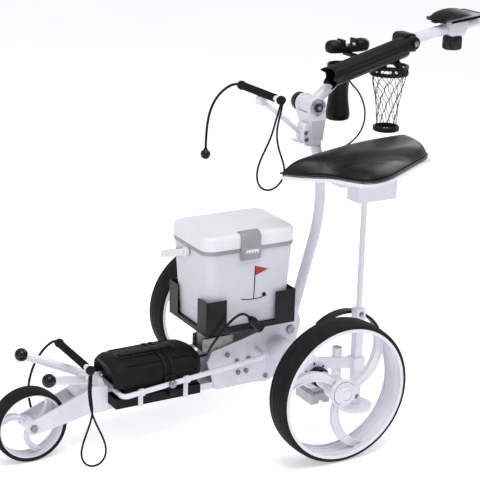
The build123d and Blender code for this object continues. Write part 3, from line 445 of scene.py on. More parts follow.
def place_camera():
    """A long lens, a little above and in front of the left side."""
    back = Vector((sin(CAMERA_AZ) * cos(CAMERA_EL), -cos(CAMERA_AZ) * cos(CAMERA_EL), sin(CAMERA_EL)))
    right = Vector((cos(CAMERA_AZ), sin(CAMERA_AZ), 0))
    up = back.cross(right)
    rolled_right = right * cos(CAMERA_ROLL) + up * sin(CAMERA_ROLL)
    rolled_up = up * cos(CAMERA_ROLL) - right * sin(CAMERA_ROLL)
    camera = bpy.data.objects.new("camera", bpy.data.cameras.new("camera"))
    bpy.context.scene.collection.objects.link(camera)
    turn = Matrix((rolled_right, rolled_up, back)).transposed().to_4x4()
    camera.matrix_world = Matrix.Translation(AIM + back * CAMERA_DISTANCE) @ turn
    camera.data.sensor_width = 36
    camera.data.lens = FOCAL
    camera.data.shift_x, camera.data.shift_y = LENS_SHIFT
    camera.data.clip_end = 60
    bpy.context.scene.camera = camera


def area_light(name, at, size, energy):
    """A square soft box aimed at the middle of the trolley."""
    lamp = bpy.data.lights.new(name, "AREA")
    lamp.size = size
    lamp.energy = energy
    holder = bpy.data.objects.new(name, lamp)
    bpy.context.scene.collection.objects.link(holder)
    at = Vector(at)
    holder.location = at
    holder.rotation_euler = (at - AIM).to_track_quat("Z", "Y").to_euler()


def studio():
    """Pale floor, bright surround and three soft boxes."""
    world = bpy.data.worlds.new("studio")
    world.use_nodes = True
    sky = world.node_tree.nodes["Background"]
    sky.inputs["Color"].default_value = SKY_COLOUR
    sky.inputs["Strength"].default_value = SKY_STRENGTH
    bpy.context.scene.world = world
    area_light("key", (0.4, 1.2, 3.4), 1.8, 62)
    area_light("fill", (2.8, 1.0, 1.2), 1.6, 12)
    area_light("rim", (-2.4, -1.2, 2.0), 1.6, 20)
    floor_mesh = bpy.data.meshes.new("floor")
    corners = [(u * FLOOR_REACH, v * FLOOR_REACH, 0) for u, v in ((-1, -1), (1, -1), (1, 1), (-1, 1))]
    floor_mesh.from_pydata(corners, [], [(0, 1, 2, 3)])
    floor = bpy.data.objects.new("floor", floor_mesh)
    bpy.context.scene.collection.objects.link(floor)
    floor.location.z = -0.0005
    mat, shader, place = new_material("studio_paper")
    mottle(mat, shader, place, "#F4F4F6", "#F7F7F9", 900, 0.9, 0.02)
    shader.inputs["Emission Color"].default_value = (1.0, 1.0, 1.0, 1.0)
    shader.inputs["Emission Strength"].default_value = PAPER_GLOW
    floor_mesh.materials.append(mat)
    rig.stage(floor)


place_camera()
studio()
bpy.context.scene.view_settings.view_transform = "Standard"


# ---------------------------------------------------------------- makers' tools
def put(piece, body, slot, *nodes):
    """Rides a piece on its body, names its finish slot and hides what it stands for."""
    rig.ride(piece, body)
    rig.slot(piece, slot)
    if nodes:
        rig.replaces(piece, *nodes)
    return piece


def shaped(name, shells, finish, crease=32):
    """One object from (points, faces) shells in millimetres, smooth except at creases."""
    work = bmesh.new()
    for points, faces in shells:
        corners = [work.verts.new(Vector(p) * MM) for p in points]
        for face in faces:
            work.faces.new([corners[i] for i in face])
    bmesh.ops.remove_doubles(work, verts=work.verts, dist=2e-6)
    bmesh.ops.recalc_face_normals(work, faces=work.faces)
    mesh = bpy.data.meshes.new(name)
    work.to_mesh(mesh)
    work.free()
    mesh.polygons.foreach_set("use_smooth", [True] * len(mesh.polygons))
    mesh.set_sharp_from_angle(angle=radians(crease))
    mesh.materials.append(finish)
    obj = bpy.data.objects.new(name, mesh)
    bpy.context.scene.collection.objects.link(obj)
    return obj


def add_piece(name, shells, finish, body, slot, *nodes, crease=32):
    """A shaped piece put on its body."""
    return put(shaped(name, shells, finish, crease), body, slot, *nodes)


def skin(rows, steps, closed=False):
    """Quads between rows of equal count; an open tube gets flat ends."""
    faces = []
    for row in range(rows if closed else rows - 1):
        after = (row + 1) % rows
        for k in range(steps):
            n = (k + 1) % steps
            faces.append((row * steps + k, row * steps + n, after * steps + n, after * steps + k))
    if not closed:
        faces.append(tuple(range(steps))[::-1])
        faces.append(tuple((rows - 1) * steps + k for k in range(steps)))
    return faces


def turned(profile, origin, axis, steps=48, ripple=None, closed=True):
    """Turns (radius, along) pairs about an axis; ripple adds to the radius by angle and row."""
    turn = Vector(axis).normalized().to_track_quat("Z", "Y")
    points = []
    for row, (radius, along) in enumerate(profile):
        for k in range(steps):
            angle = 2 * pi * k / steps
            r = radius + (ripple(angle, row) if ripple else 0.0)
            points.append(Vector(origin) + turn @ Vector((r * cos(angle), r * sin(angle), along)))
    return points, skin(len(profile), steps, closed)


def capped(profile, origin, axis, steps=48, ripple=None):
    """Turned, with flat ends in place of a return to the first pair."""
    return turned(profile, origin, axis, steps, ripple, closed=False)


def swept(route, radius, sides=10, closed=False, flat=1.0):
    """A tube along points, its frame carried from point to point; radius may vary by share."""
    route = [Vector(p) for p in route]
    count = len(route)
    points = []
    ahead = (route[1] - route[0]).normalized()
    side = ahead.orthogonal().normalized()
    for i, at in enumerate(route):
        before = route[i - 1] if i or closed else at
        after = route[(i + 1) % count] if i < count - 1 or closed else at
        new_ahead = (after - before).normalized()
        side = (ahead.rotation_difference(new_ahead) @ side).normalized()
        ahead = new_ahead
        up = ahead.cross(side)
        r = radius(i / (count - 1)) if callable(radius) else radius
        for k in range(sides):
            angle = 2 * pi * k / sides
            points.append(at + side * (r * cos(angle)) + up * (r * flat * sin(angle)))
    return points, skin(count, sides, closed)


def slab(outline, origin, across, upward, low, high, bevel=0.0, rounds=3):
    """An outline raised between two heights, its edges eased by bevel."""
    across, upward = Vector(across).normalized(), Vector(upward).normalized()
    out = across.cross(upward)
    work = bmesh.new()
    base = [work.verts.new(Vector(origin) + across * u + upward * v + out * low) for u, v in outline]
    face = work.faces.new(base)
    raised = bmesh.ops.extrude_face_region(work, geom=[face])
    moved = [g for g in raised["geom"] if isinstance(g, bmesh.types.BMVert)]
    bmesh.ops.translate(work, verts=moved, vec=out * (high - low))
    bmesh.ops.recalc_face_normals(work, faces=work.faces)
    if bevel:
        sharp = [e for e in work.edges if e.calc_face_angle(0) > radians(28)]
        bmesh.ops.bevel(
            work, geom=sharp, offset=bevel, segments=rounds, profile=0.5, affect="EDGES", clamp_overlap=True
        )
    work.verts.index_update()
    points = [v.co.copy() for v in work.verts]
    faces = [tuple(v.index for v in f.verts) for f in work.faces]
    work.free()
    return points, faces


def brick(x, y, z, bevel=1.0, rounds=3):
    """An eased block between two corners."""
    outline = [(x[0], y[0]), (x[1], y[0]), (x[1], y[1]), (x[0], y[1])]
    return slab(outline, (0, 0, 0), X_AXIS, Y_AXIS, z[0], z[1], bevel, rounds)


def round_rectangle(width, depth, corner, steps=6):
    """Outline of a rectangle with round corners, about its middle."""
    outline = []
    for cx, cy, start in ((1, 1, 0), (-1, 1, 90), (-1, -1, 180), (1, -1, 270)):
        for k in range(steps + 1):
            angle = radians(start + 90 * k / steps)
            outline.append(
                (
                    cx * (width / 2 - corner) + corner * cos(angle),
                    cy * (depth / 2 - corner) + corner * sin(angle)
                )
            )
    return outline


def ring_between(outer, inner, z_low, z_high, middle):
    """A flat band between two outlines of equal count, closed top and bottom."""
    points = []
    for outline, z in ((outer, z_low), (outer, z_high), (inner, z_high), (inner, z_low)):
        points += [Vector((middle[0] + u, middle[1] + v, z)) for u, v in outline]
    return points, skin(4, len(outer), closed=True)


def screw_head(at, axis, radius, height, sides=6):
    """A chamfered bolt head on a round washer."""
    head = [
        (0.2 * radius, height), (0.86 * radius, height), (radius, 0.86 * height), (radius, 0.0),
        (0.2 * radius, 0.0)
    ]
    washer = [(0.3, 0.8), (1.45, 0.8), (1.55, 0.4), (1.55, 0.0), (0.3, 0.0)]
    washer = [(radius * share, along) for share, along in washer]
    return [capped(head, at, axis, sides), capped(washer, at, axis, 28)]


# ---------------------------------------------------------------- cords
def ball_end(at, down, radius):
    """Moulded ball with a neck."""
    profile = []
    for k in range(15):
        angle = 0.86 * pi * k / 14
        profile.append((max(radius * sin(angle), 0.3), -radius * cos(angle)))
    profile += [(radius * 0.4, radius * 1.02), (radius * 0.36, radius * 1.2), (1.0, radius * 1.22)]
    return capped(profile, at, [-c for c in down], 40)


def metres(points):
    """Millimetre points as vectors in metres."""
    return [Vector(p) * MM for p in points]


def route_curve(name, points, radius, finish):
    """One smooth spline through its control points, with a round section."""
    data = bpy.data.curves.new(name, "CURVE")
    data.dimensions = "3D"
    data.resolution_u = 10
    data.bevel_depth = radius
    data.bevel_resolution = 4
    data.use_fill_caps = True
    spline = data.splines.new("NURBS")
    spline.points.add(len(points) - 1)
    for point, at in zip(spline.points, points):
        point.co = (*at, 1.0)
    spline.order_u = 3
    spline.use_endpoint_u = True
    obj = bpy.data.objects.new(name, data)
    bpy.context.scene.collection.objects.link(obj)
    data.materials.append(finish)
    return obj


CORDS = {
    "upper_strap_loop": (2.3, [
        (40, 85, 760), (42, 83, 743), (45, 80, 724), (48, 78, 702), (46, 77, 679), (40, 77, 656),
        (31, 77, 634), (24, 77, 612), (27, 77, 590), (43, 78, 573), (64, 79, 567), (84, 80, 574),
        (96, 81, 592), (98, 82, 614), (92, 83, 638), (80, 84, 662), (68, 84, 685), (60, 84, 707),
        (56, 86, 727), (51, 88, 745), (48, 90, 761),
    ]),
    "upper_strap_tail": (3.0, [
        (45, -94, 770), (50, -102, 771), (60, -114, 765), (68, -132, 751), (73, -151, 732),
        (76, -168, 709), (77, -181, 683), (77, -189, 655), (77, -193, 626), (77, -194, 598),
    ]),
    "lower_strap_loop": (2.3, [
        (497, 85, 211), (498, 85, 190), (500, 86, 170), (499, 88, 150), (498, 91, 129), (503, 94, 108),
        (514, 98, 86), (526, 102, 62), (533, 105, 38), (527, 108, 17), (511, 109, 6), (491, 109, 7),
        (477, 109, 21), (474, 108, 43), (480, 106, 66), (489, 103, 88), (497, 100, 108), (503, 97, 129),
        (506, 94, 150), (507, 92, 170), (506, 91, 189), (504, 90, 211),
    ]),
    "lower_strap_tail": (3.0, [
        (500, -94, 222), (503, -101, 223), (509, -112, 216), (515, -131, 199), (522, -153, 173),
        (528, -173, 142), (533, -187, 108), (536, -193, 75), (536, -188, 48), (534, -178, 26),
    ]),
    "battery_cable": (3.0, [
        (213, 30, 180), (204, 30, 180), (195, 36, 183), (192, 48, 190), (198, 64, 200), (208, 79, 210),
        (212, 93, 225), (203, 101, 245), (186, 103, 266), (167, 104, 285), (148, 104, 297),
        (130, 104, 297), (118, 103, 284),
    ]),
    "control_cable": (2.0, [
        (-184, 0, 784), (-194, 0, 770), (-212, 0, 754), (-228, 0, 730), (-237, 0, 702), (-236, 0, 673),
        (-223, 0, 648), (-201, 0, 630), (-174, 0, 619), (-147, 0, 613), (-120, 0, 611),
    ]),
}


def centre_line(obj):
    """The points of a curve's own line, without its section."""
    data = obj.data.copy()
    data.bevel_depth = 0.0
    bare = bpy.data.objects.new("bare_line", data)
    mesh = bpy.data.meshes.new_from_object(bare)
    bpy.data.objects.remove(bare)
    return [v.co.copy() for v in mesh.vertices]


def line_length(line):
    """Length of a line of points."""
    return sum((b - a).length for a, b in zip(line, line[1:]))


def make_cords():
    """Elastic loops and tails, the battery lead and the control lead."""
    made = {}
    for node, (radius, points) in CORDS.items():
        route = metres(points)
        finish = CABLE_PVC if "cable" in node else ELASTIC
        obj = route_curve(node + "_cord", route, radius * MM, finish)
        if node == "control_cable":
            line = centre_line(obj)
            bpy.data.objects.remove(obj)
            tube = swept([p / MM for p in line], radius, 12)
            obj = shaped(node + "_cord", [tube], finish, 60)
            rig.blend(obj, "frame", "handle", start=(-0.150, 0.0, 0.640), end=(-0.190, 0.0, 0.775))
        else:
            line = centre_line(obj)
            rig.ride(obj, "frame")
        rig.replaces(obj, node)
        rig.slot(obj, node)
        made[node] = (obj, route, radius, line)
    pieces = {"battery_cable": [NODES["battery_plug"]]}
    for node in ("upper_strap_tail", "lower_strap_tail"):
        route = made[node][1]
        down = (route[-1] - route[-2]).normalized()
        ball = ball_end(route[-1] / MM + down * 11.0, down, 12.0)
        pieces[node] = [add_piece(node + "_ball", [ball], BLACK_GLOSS, "frame", "strap_knots", crease=60)]
    for node, (obj, route, radius, line) in made.items():
        far = "connector" if node == "battery_cable" else ("knot" if node.endswith("tail") else "object")
        tube = {"path": [tuple(p) for p in line]} if node == "control_cable" else {}
        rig.cord(
            obj, exit=tuple(route[0]), length=line_length(line), diameter=2 * radius * MM, far_end=far,
            stiffness="medium" if "cable" in node else "limp", lay="hanging",
            with_pieces=pieces.get(node, []), **tube
        )


make_cords()

# ---------------------------------------------------------------- seat pad
SEAT_OUTLINE = [
    (48, 97), (47, 101), (-60, 56), (-190, 12), (-330, -6), (-362, 2), (-360, 60), (-346, 112),
    (-280, 152), (-213, 194), (-149, 234), (-92, 246), (-66, 216), (-44, 168), (6, 143),
]
PAD_FLOOR = 606.5


def eased_outline(points, rounds=3):
    """Cuts the corners of a closed outline a few times."""
    for _ in range(rounds):
        cut = []
        for a, b in zip(points, points[1:] + points[:1]):
            cut.append((0.75 * a[0] + 0.25 * b[0], 0.75 * a[1] + 0.25 * b[1]))
            cut.append((0.25 * a[0] + 0.75 * b[0], 0.25 * a[1] + 0.75 * b[1]))
        points = cut
    return points


def edge_distance(x, y, outline):
    """Shortest distance from a point to a closed outline."""
    best = 1e9
    for (ax, ay), (bx, by) in zip(outline, outline[1:] + outline[:1]):
        dx, dy = bx - ax, by - ay
        share = max(0.0, min(1.0, ((x - ax) * dx + (y - ay) * dy) / (dx * dx + dy * dy)))
        best = min(best, ((x - ax - share * dx) ** 2 + (y - ay - share * dy) ** 2) ** 0.5)
    return best


def ease(low, high, value):
    """Smooth step from 0 at low to 1 at high."""
    share = max(0.0, min(1.0, (value - low) / (high - low)))
    return share * share * (3 - 2 * share)


def pad_height(x, y, outline):
    """Height of the pad's cover over its pan: a crown behind, a waterfall lobe in front."""
    inward = edge_distance(x, y, outline)
    lobe = ease(118, 172, y) * (1 - ease(-70, -20, x) * 0.4)
    crown = 30 - 15 * lobe
    return 7.5 + crown * (1 - 2.718 ** (-inward / (15 + 6 * lobe)))


def inflate(obj, pressure, cap):
    """Blows the cover up a little with cloth, then keeps it within a cap of where it was."""
    rest = [v.co.copy() for v in obj.data.vertices]
    cloth = obj.modifiers.new("cover", "CLOTH")
    cloth.settings.use_pressure = True
    cloth.settings.uniform_pressure_force = pressure
    cloth.settings.effector_weights.gravity = 0
    cloth.settings.quality = 5
    cloth.settings.tension_stiffness = 18
    cloth.settings.compression_stiffness = 12
    cloth.settings.bending_stiffness = 0.6
    cloth.point_cache.frame_start = 1
    cloth.point_cache.frame_end = 20
    scene = bpy.context.scene
    for number in range(1, 21):
        scene.frame_set(number)
    ready = obj.evaluated_get(bpy.context.evaluated_depsgraph_get())
    swollen = [v.co.copy() for v in ready.data.vertices]
    obj.modifiers.remove(cloth)
    scene.frame_set(1)
    for vertex, was, now in zip(obj.data.vertices, rest, swollen):
        move = now - was
        if move.length > cap:
            move *= cap / move.length
        vertex.co = was + move


def seat_pad():
    """Leather pad: a shaped cover blown up by cloth, with a piped edge and sewn front crease."""
    outline = eased_outline(SEAT_OUTLINE)
    points, faces = slab(outline, (0, 0, 0), X_AXIS, Y_AXIS, PAD_FLOOR, PAD_FLOOR + 26)
    pad = shaped("seat_pad_cover", [(points, faces)], LEATHER, 60)
    remesh = pad.modifiers.new("even", "REMESH")
    remesh.mode = "VOXEL"
    remesh.voxel_size = 0.0045
    ready = pad.evaluated_get(bpy.context.evaluated_depsgraph_get())
    mesh = bpy.data.meshes.new_from_object(ready)
    pad.modifiers.remove(remesh)
    pad.data = mesh
    for vertex in mesh.vertices:
        x, y, z = vertex.co / MM
        share = ease(PAD_FLOOR + 1, PAD_FLOOR + 22, z)
        vertex.co.z = (PAD_FLOOR + share * pad_height(x, y, outline)) * MM
    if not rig.quick():
        inflate(pad, 3.0, 0.0035)
    for vertex in mesh.vertices:
        x, y, z = vertex.co / MM
        if z > PAD_FLOOR + 8:
            groove = 2.2 * 2.718 ** (-((y - 171 - 0.03 * (x + 140)) / 2.6) ** 2)
            stitch = 1.0 * 2.718 ** (-((y - 178 - 0.03 * (x + 140)) / 1.8) ** 2)
            z -= (groove + stitch) * ease(0, 14, edge_distance(x, y, outline))
        vertex.co.z = max(z, PAD_FLOOR) * MM
    soften = pad.modifiers.new("soften", "SMOOTH")
    soften.factor = 0.4
    soften.iterations = 2
    finer = pad.modifiers.new("finer", "SUBSURF")
    finer.levels = 1
    finer.render_levels = 1
    mesh.materials.clear()
    mesh.materials.append(LEATHER)
    mesh.polygons.foreach_set("use_smooth", [True] * len(mesh.polygons))
    put(pad, "frame", "seat_pad", "seat_pad")
    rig.padded(pad, fill=0.75)
    welt = [(x, y, PAD_FLOOR + 3.6) for x, y in outline]
    piping = shaped("seat_pad_piping", [swept(welt, 2.3, 8, closed=True)], LEATHER, 60)
    put(piping, "frame", "seat_pad")
    plate = slab(eased_outline(SEAT_OUTLINE), (0, 0, 0), X_AXIS, Y_AXIS, 596.2, 604.0, 1.2)
    pan = shaped("seat_pan_edge", [plate], WHITE_ENAMEL)
    put(pan, "frame", "seat_bracket")


seat_pad()


# ---------------------------------------------------------------- battery case
def battery_case():
    """Moulded battery shell: stepped sides, pinched ends, ribbed grip, straps and their clamps."""
    x_low, x_high, mid_z = 213.5, 431.5, 157
    long = x_high - x_low
    rows = []
    stations = [0, 3, 8, 15, 22, 24, 27, 60, 109, 158, 191, 194, 196, 203, 210, 215, 218]
    for station in stations:
        x = x_low + station
        near = min(station, long - station)
        pull = 0.0 if near >= 24 else 15.0 * (1 - (near / 24)) ** 2
        panel = 1.6 if near >= 26 else 0.0
        rows.append((x, pull, panel))
    section = [
        (-52, 111), (-60, 118), (-63, 132), (-63, 147), (-61.5, 149), (-64.5, 151.5), (-64.5, 176),
        (-60, 190), (-48, 199), (-24, 203.5), (0, 204.5), (24, 203.5), (48, 199), (60, 190), (64.5, 176),
        (64.5, 151.5), (61.5, 149), (63, 147), (63, 132), (60, 118), (52, 111)
    ]
    points = []
    for x, pull, panel in rows:
        for y, z in section:
            end = 8.0 if z < 150 else 0.0
            flat_side = panel if abs(y) > 64 else 0.0
            shrink_y = 1 - pull / 75
            shrink_z = 1 - pull / 95
            x_here = max(x, x_low + end * 1.4) if x < 322 else min(x, x_high - end * 3.2)
            side = 1 if y > 0 else -1
            points.append(Vector((x_here, y * shrink_y + side * flat_side, mid_z + (z - mid_z) * shrink_z)))
    shell = shaped("battery_shell", [(points, skin(len(rows), len(section)))], BAG_CLOTH, 28)
    ease_edges = shell.modifiers.new("eased", "BEVEL")
    ease_edges.width = 0.0016
    ease_edges.segments = 2
    ease_edges.limit_method = "ANGLE"
    ease_edges.angle_limit = radians(30)
    put(shell, "frame", "battery_case", "battery_case")
    parts = [slab(round_rectangle(150, 34, 14), (332, 4, 0), X_AXIS, Y_AXIS, 200, 207.5, 2.0)]
    parts.append(slab(round_rectangle(132, 22, 9), (332, 4, 0), X_AXIS, Y_AXIS, 205, 212.2, 2.2))
    for k in range(7):
        x = 274 + k * 19.4
        parts.append(brick((x - 3.2, x + 3.2), (-9, 17), (206, 213.0), 1.2, 2))
    add_piece("battery_grip", parts, BLACK_MOULDING, "frame", "battery_case")
    seams = []
    for side in (1, -1):
        seam = [(x, side * 66.9, mid_z + 2.0 * sin((x - 230) / 30)) for x in range(240, 412, 8)]
        seams.append(swept(seam, 0.7, 6))
        top = [(x, side * 50.5, 198.6) for x in range(244, 404, 8)]
        seams.append(swept(top, 1.1, 6))
    add_piece("battery_seams", seams, BLACK_MOULDING, "frame", "battery_case")
    clips = []
    for side in (1, -1):
        clips += screw_head((301, side * 86.5, 151), (0, side, 0), 5.2, 4.0)
        cup = [(3, 5), (8.6, 5), (9.4, 4), (9.4, 0), (3, 0)]
        clips.append(capped(cup, (301, side * 84.0, 151), (0, side, 0), 28))
    add_piece("battery_clamp_bolts", clips, BOLT_STEEL, "frame", "frame_bolts")
    over = [(67.2, 160), (67.4, 178), (62.6, 191.5), (49.5, 201.0), (24, 206.0), (0, 207.0)]
    over += [(-y, z) for y, z in over[-2::-1]]
    straps = []
    for x in (292.5, 309.5):
        points = []
        for y, z in over:
            out = Vector((0, y, (z - 150) * 1.2)).normalized()
            for shift, lift in ((-3.6, -1.0), (3.6, -1.0), (3.6, 0.9), (-3.6, 0.9)):
                points.append(Vector((x + shift, y, z)) + out * lift)
        straps.append((points, skin(len(over), 4)))
    for side in (1, -1):
        sheath = [
            (288, 168), (314, 168), (315, 150), (312, 138), (309, 132), (293, 132), (290, 138), (287, 150)
        ]
        straps.append(slab(sheath, (0, side * 70.5, 0), X_AXIS, Z_AXIS, -3.4, 3.4, 1.6, 2))
        grip = [(4.4, -8), (10.0, -8), (10.8, -6), (10.8, 6), (10.0, 8), (4.4, 8)]
        straps.append(turned(grip, (301, side * 78, 132), X_AXIS, 40))
    add_piece("battery_straps", straps, WEBBING, "frame", "battery_strap", "battery_strap")


battery_case()


# ---------------------------------------------------------------- umbrella holder
def umbrella_holder():
    """Fluted tube with a petal mouth on a round knuckle, and its clamp on the handle."""
    along = (UMBRELLA_OPEN - UMBRELLA_PIVOT).normalized()
    reach = (UMBRELLA_OPEN - UMBRELLA_PIVOT).length / MM
    base = UMBRELLA_PIVOT / MM
    turn = along.to_track_quat("Z", "Y")
    steps = 96
    points = []
    rows = [
        (19.5, 24, 0), (23.4, 26, 0.2), (24.0, 32, 0.2), (22.6, 42, 1), (22.6, 80, 1), (22.6, 120, 1),
        (22.6, 170, 1), (22.6, reach - 20, 1), (23.4, reach - 12, 0.3), (23.8, reach - 4, 0.1),
        (24.2, reach + 1, 0), (22.0, reach + 1, 0), (21.6, reach - 6, 0), (21.6, 120, 0), (21.6, 40, 0),
        (6.0, 36, 0)
    ]
    petal_rows = {9: 0.4, 10: 1.0, 11: 1.0, 12: 0.3}
    for row, (radius, height, flute) in enumerate(rows):
        for k in range(steps):
            angle = 2 * pi * k / steps
            ridge = abs(cos(5 * angle)) ** 0.5
            r = radius + flute * (2.6 * ridge - 1.2)
            petal = petal_rows.get(row, 0.0) * (abs(cos(2.5 * angle)) ** 4)
            r += 4.0 * petal
            points.append(base + turn @ Vector((r * cos(angle), r * sin(angle), height + 11.0 * petal)))
    lug = [(32, -13)]
    for k in range(17):
        angle = radians(-90 - 180 * k / 16)
        lug.append((16 * cos(angle), 16 * sin(angle)))
    lug.append((32, 13))
    side = along.cross(Vector(Y_AXIS)).normalized()
    knuckle = slab(lug, base, along, side, -8.4, 11.0, 2.4)
    tube = shaped("umbrella_tube", [(points, skin(len(rows), steps)), knuckle], BLACK_MOULDING, 40)
    put(tube, "umbrella", "umbrella_holder", "umbrella_holder")
    bolt = [slab(round_rectangle(11, 12, 1.5, 2), (base.x, 51.0, base.z), along, side, -6.0, 0.0, 0.8, 2)]
    add_piece("umbrella_bolt", bolt, BOLT_STEEL, "handle", "accessory_clamps")
    block = slab(round_rectangle(38, 38, 12), (base.x, 0, base.z + 1), X_AXIS, Z_AXIS, -31.0, 17.0, 3.0)
    add_piece("umbrella_clamp", [block], BLACK_MOULDING, "handle", "accessory_clamps")


umbrella_holder()


# ---------------------------------------------------------------- ball net
NET_AXIS = Vector((-298.0, 0.0, 0.0))


def net_radius(z):
    """The net falls from its ring to a narrow sleeve at the foot."""
    share = (783 - z) / 121
    return 41.8 - 15.3 * ease(-0.15, 0.72, share) - 2.0 * ease(0.5, 1.0, share)


def ball_net():
    """Knotted diamond net of thin cord between a slotted ring and a foot ring."""
    strands = []
    meshes = 9
    for way in (1, -1):
        for k in range(meshes):
            route = []
            for i in range(37):
                z = 786 - i * (786 - 656) / 36
                wander = 0.05 * sin(i * 0.9 + k * 2.1)
                angle = 2 * pi * k / meshes + way * (2.0 * (i / 36) ** 0.8) + wander
                r = net_radius(min(z, 783)) - 0.8
                route.append(NET_AXIS + Vector((r * cos(angle), r * sin(angle), z)))
            strands.append(swept(route, 0.75, 5))
    add_piece("net_cords", strands, ELASTIC, "net", "net_mesh", "net_mesh", crease=70)
    rings = []
    for low, high in ((783, 791.5), (798.5, 805)):
        band = [(38.8, low), (44.8, low), (45.6, low + 1), (45.6, high - 1), (44.8, high), (38.8, high)]
        rings.append(turned(band, NET_AXIS, Z_AXIS, 72))
    for k in range(8):
        angle = radians(22.5 + 45 * k)
        out = Vector((cos(angle), sin(angle), 0))
        across = Vector((-sin(angle), cos(angle), 0))
        rings.append(
            slab(
                round_rectangle(7, 9, 1, 2), NET_AXIS + Vector((0, 0, 795)), across, Z_AXIS, 39.2, 45.3,
                0.6, 1
            )
        )
    foot = [(24, 651), (29, 650.4), (31, 652), (31, 660), (29.6, 662), (24.6, 662)]
    rings.append(
        turned(foot, NET_AXIS, Z_AXIS, 56, lambda a, row: 0.5 * cos(14 * a) if row in (2, 3) else 0.0)
    )
    for side in (1, -1):
        arm = [
            (17.6, 828), (21.8, 829), (46.5, 805), (46.5, 790), (44.6, 788), (42.6, 792), (42.6, 802),
            (17.6, 812)
        ]
        outline = [(side * u, v) for u, v in arm]
        rings.append(slab(outline, NET_AXIS, Y_AXIS, Z_AXIS, -7.0, 7.0, 1.2, 2))
    for side in (1, -1):
        stay = [(0, 816), (8, 818), (-6, 792), (-8, 786), (-14, 783.5), (-20, 787), (-19, 793)]
        rings.append(slab(stay, NET_AXIS + Vector((2, side * 46.0, 0)), X_AXIS, Z_AXIS, -2.6, 2.6, 1.4, 2))
    add_piece("net_ring_pair", rings, BLACK_MOULDING, "net", "net_rings", "net_rings")


ball_net()


# ---------------------------------------------------------------- cup holder and phone cradle
CUP_AXIS = (-200, -60, 0)
PHONE_AT = Vector((-210, -45, 0))


def cup_holder():
    """Tapered drinks holder with a bulged foot, open at the top."""
    outer = [
        (5, 674), (22, 674), (26.6, 676), (28.8, 682), (28.6, 690), (27.0, 700), (24.4, 716), (22.9, 734),
        (22.9, 750), (24.6, 775), (27.6, 802), (28.2, 806), (27.2, 807), (25.6, 805), (22.4, 775),
        (20.6, 748), (21.4, 720), (24.8, 692), (24.6, 681), (5, 678)
    ]
    body = turned(outer, CUP_AXIS, Z_AXIS, 72, lambda a, row: 0.3 * cos(18 * a) if 5 <= row <= 9 else 0.0)
    lip = turned([(27.2, 798), (29.0, 799), (29.0, 804), (27.2, 805)], CUP_AXIS, Z_AXIS, 72)
    add_piece("cup_shell", [body, lip], BLACK_MOULDING, "handle", "cup_holder", "cup_holder", crease=40)


def phone_cradle():
    """Spring cradle: two rounded end grips on a bridge, with padded jaws."""
    shells = [slab(round_rectangle(78, 32, 9), PHONE_AT, X_AXIS, Y_AXIS, 835, 851, 4.0)]
    for end in (1, -1):
        spot = PHONE_AT + Vector((end * 36, -2, 0))
        grip = [
            (2, 834.2), (11, 834.4), (16.5, 837), (19.4, 843), (19.8, 850), (18.2, 857), (13.5, 861.5),
            (7, 863.4), (2, 862.6)
        ]
        shells.append(capped(grip, spot, Z_AXIS, 44, lambda a, row: 1.6 * cos(2 * a + 0.6)))
        jaw = slab(
            round_rectangle(9, 30, 4), PHONE_AT + Vector((end * 18, 0, 0)), X_AXIS, Y_AXIS, 848, 865, 2.6
        )
        shells.append(jaw)
        ear = [(3, 0), (6.4, 0), (6.8, 1.5), (5.4, 3.4), (3, 3.6)]
        shells.append(capped(ear, spot + Vector((0, 6, 860)), (0, 0.3, 1), 24))
    cradle = shaped("phone_cradle_shell", shells, BLACK_MOULDING, 38)
    put(cradle, "phone", "phone_cradle", "phone_cradle")
    pads = []
    for end in (1, -1):
        pads.append(
            slab(
                round_rectangle(3.4, 9, 1.5), PHONE_AT + Vector((end * 11, 9, 0)), X_AXIS, Y_AXIS, 850, 856,
                0.8
            )
        )
    add_piece("phone_cradle_pads", pads, COOLER_WHITE, "phone", "phone_cradle")
    slots = []
    for k in range(4):
        slots.append(brick((-214 + k * 6, -211 + k * 6), (-29.4, -28.6), (838, 847), 0.3, 1))
    add_piece("phone_cradle_ribs", slots, BLACK_GLOSS, "phone", "phone_cradle")


cup_holder()
phone_cradle()


# ---------------------------------------------------------------- scorecard holder
CARD = Vector((-477.0, 0.0, 881.7))


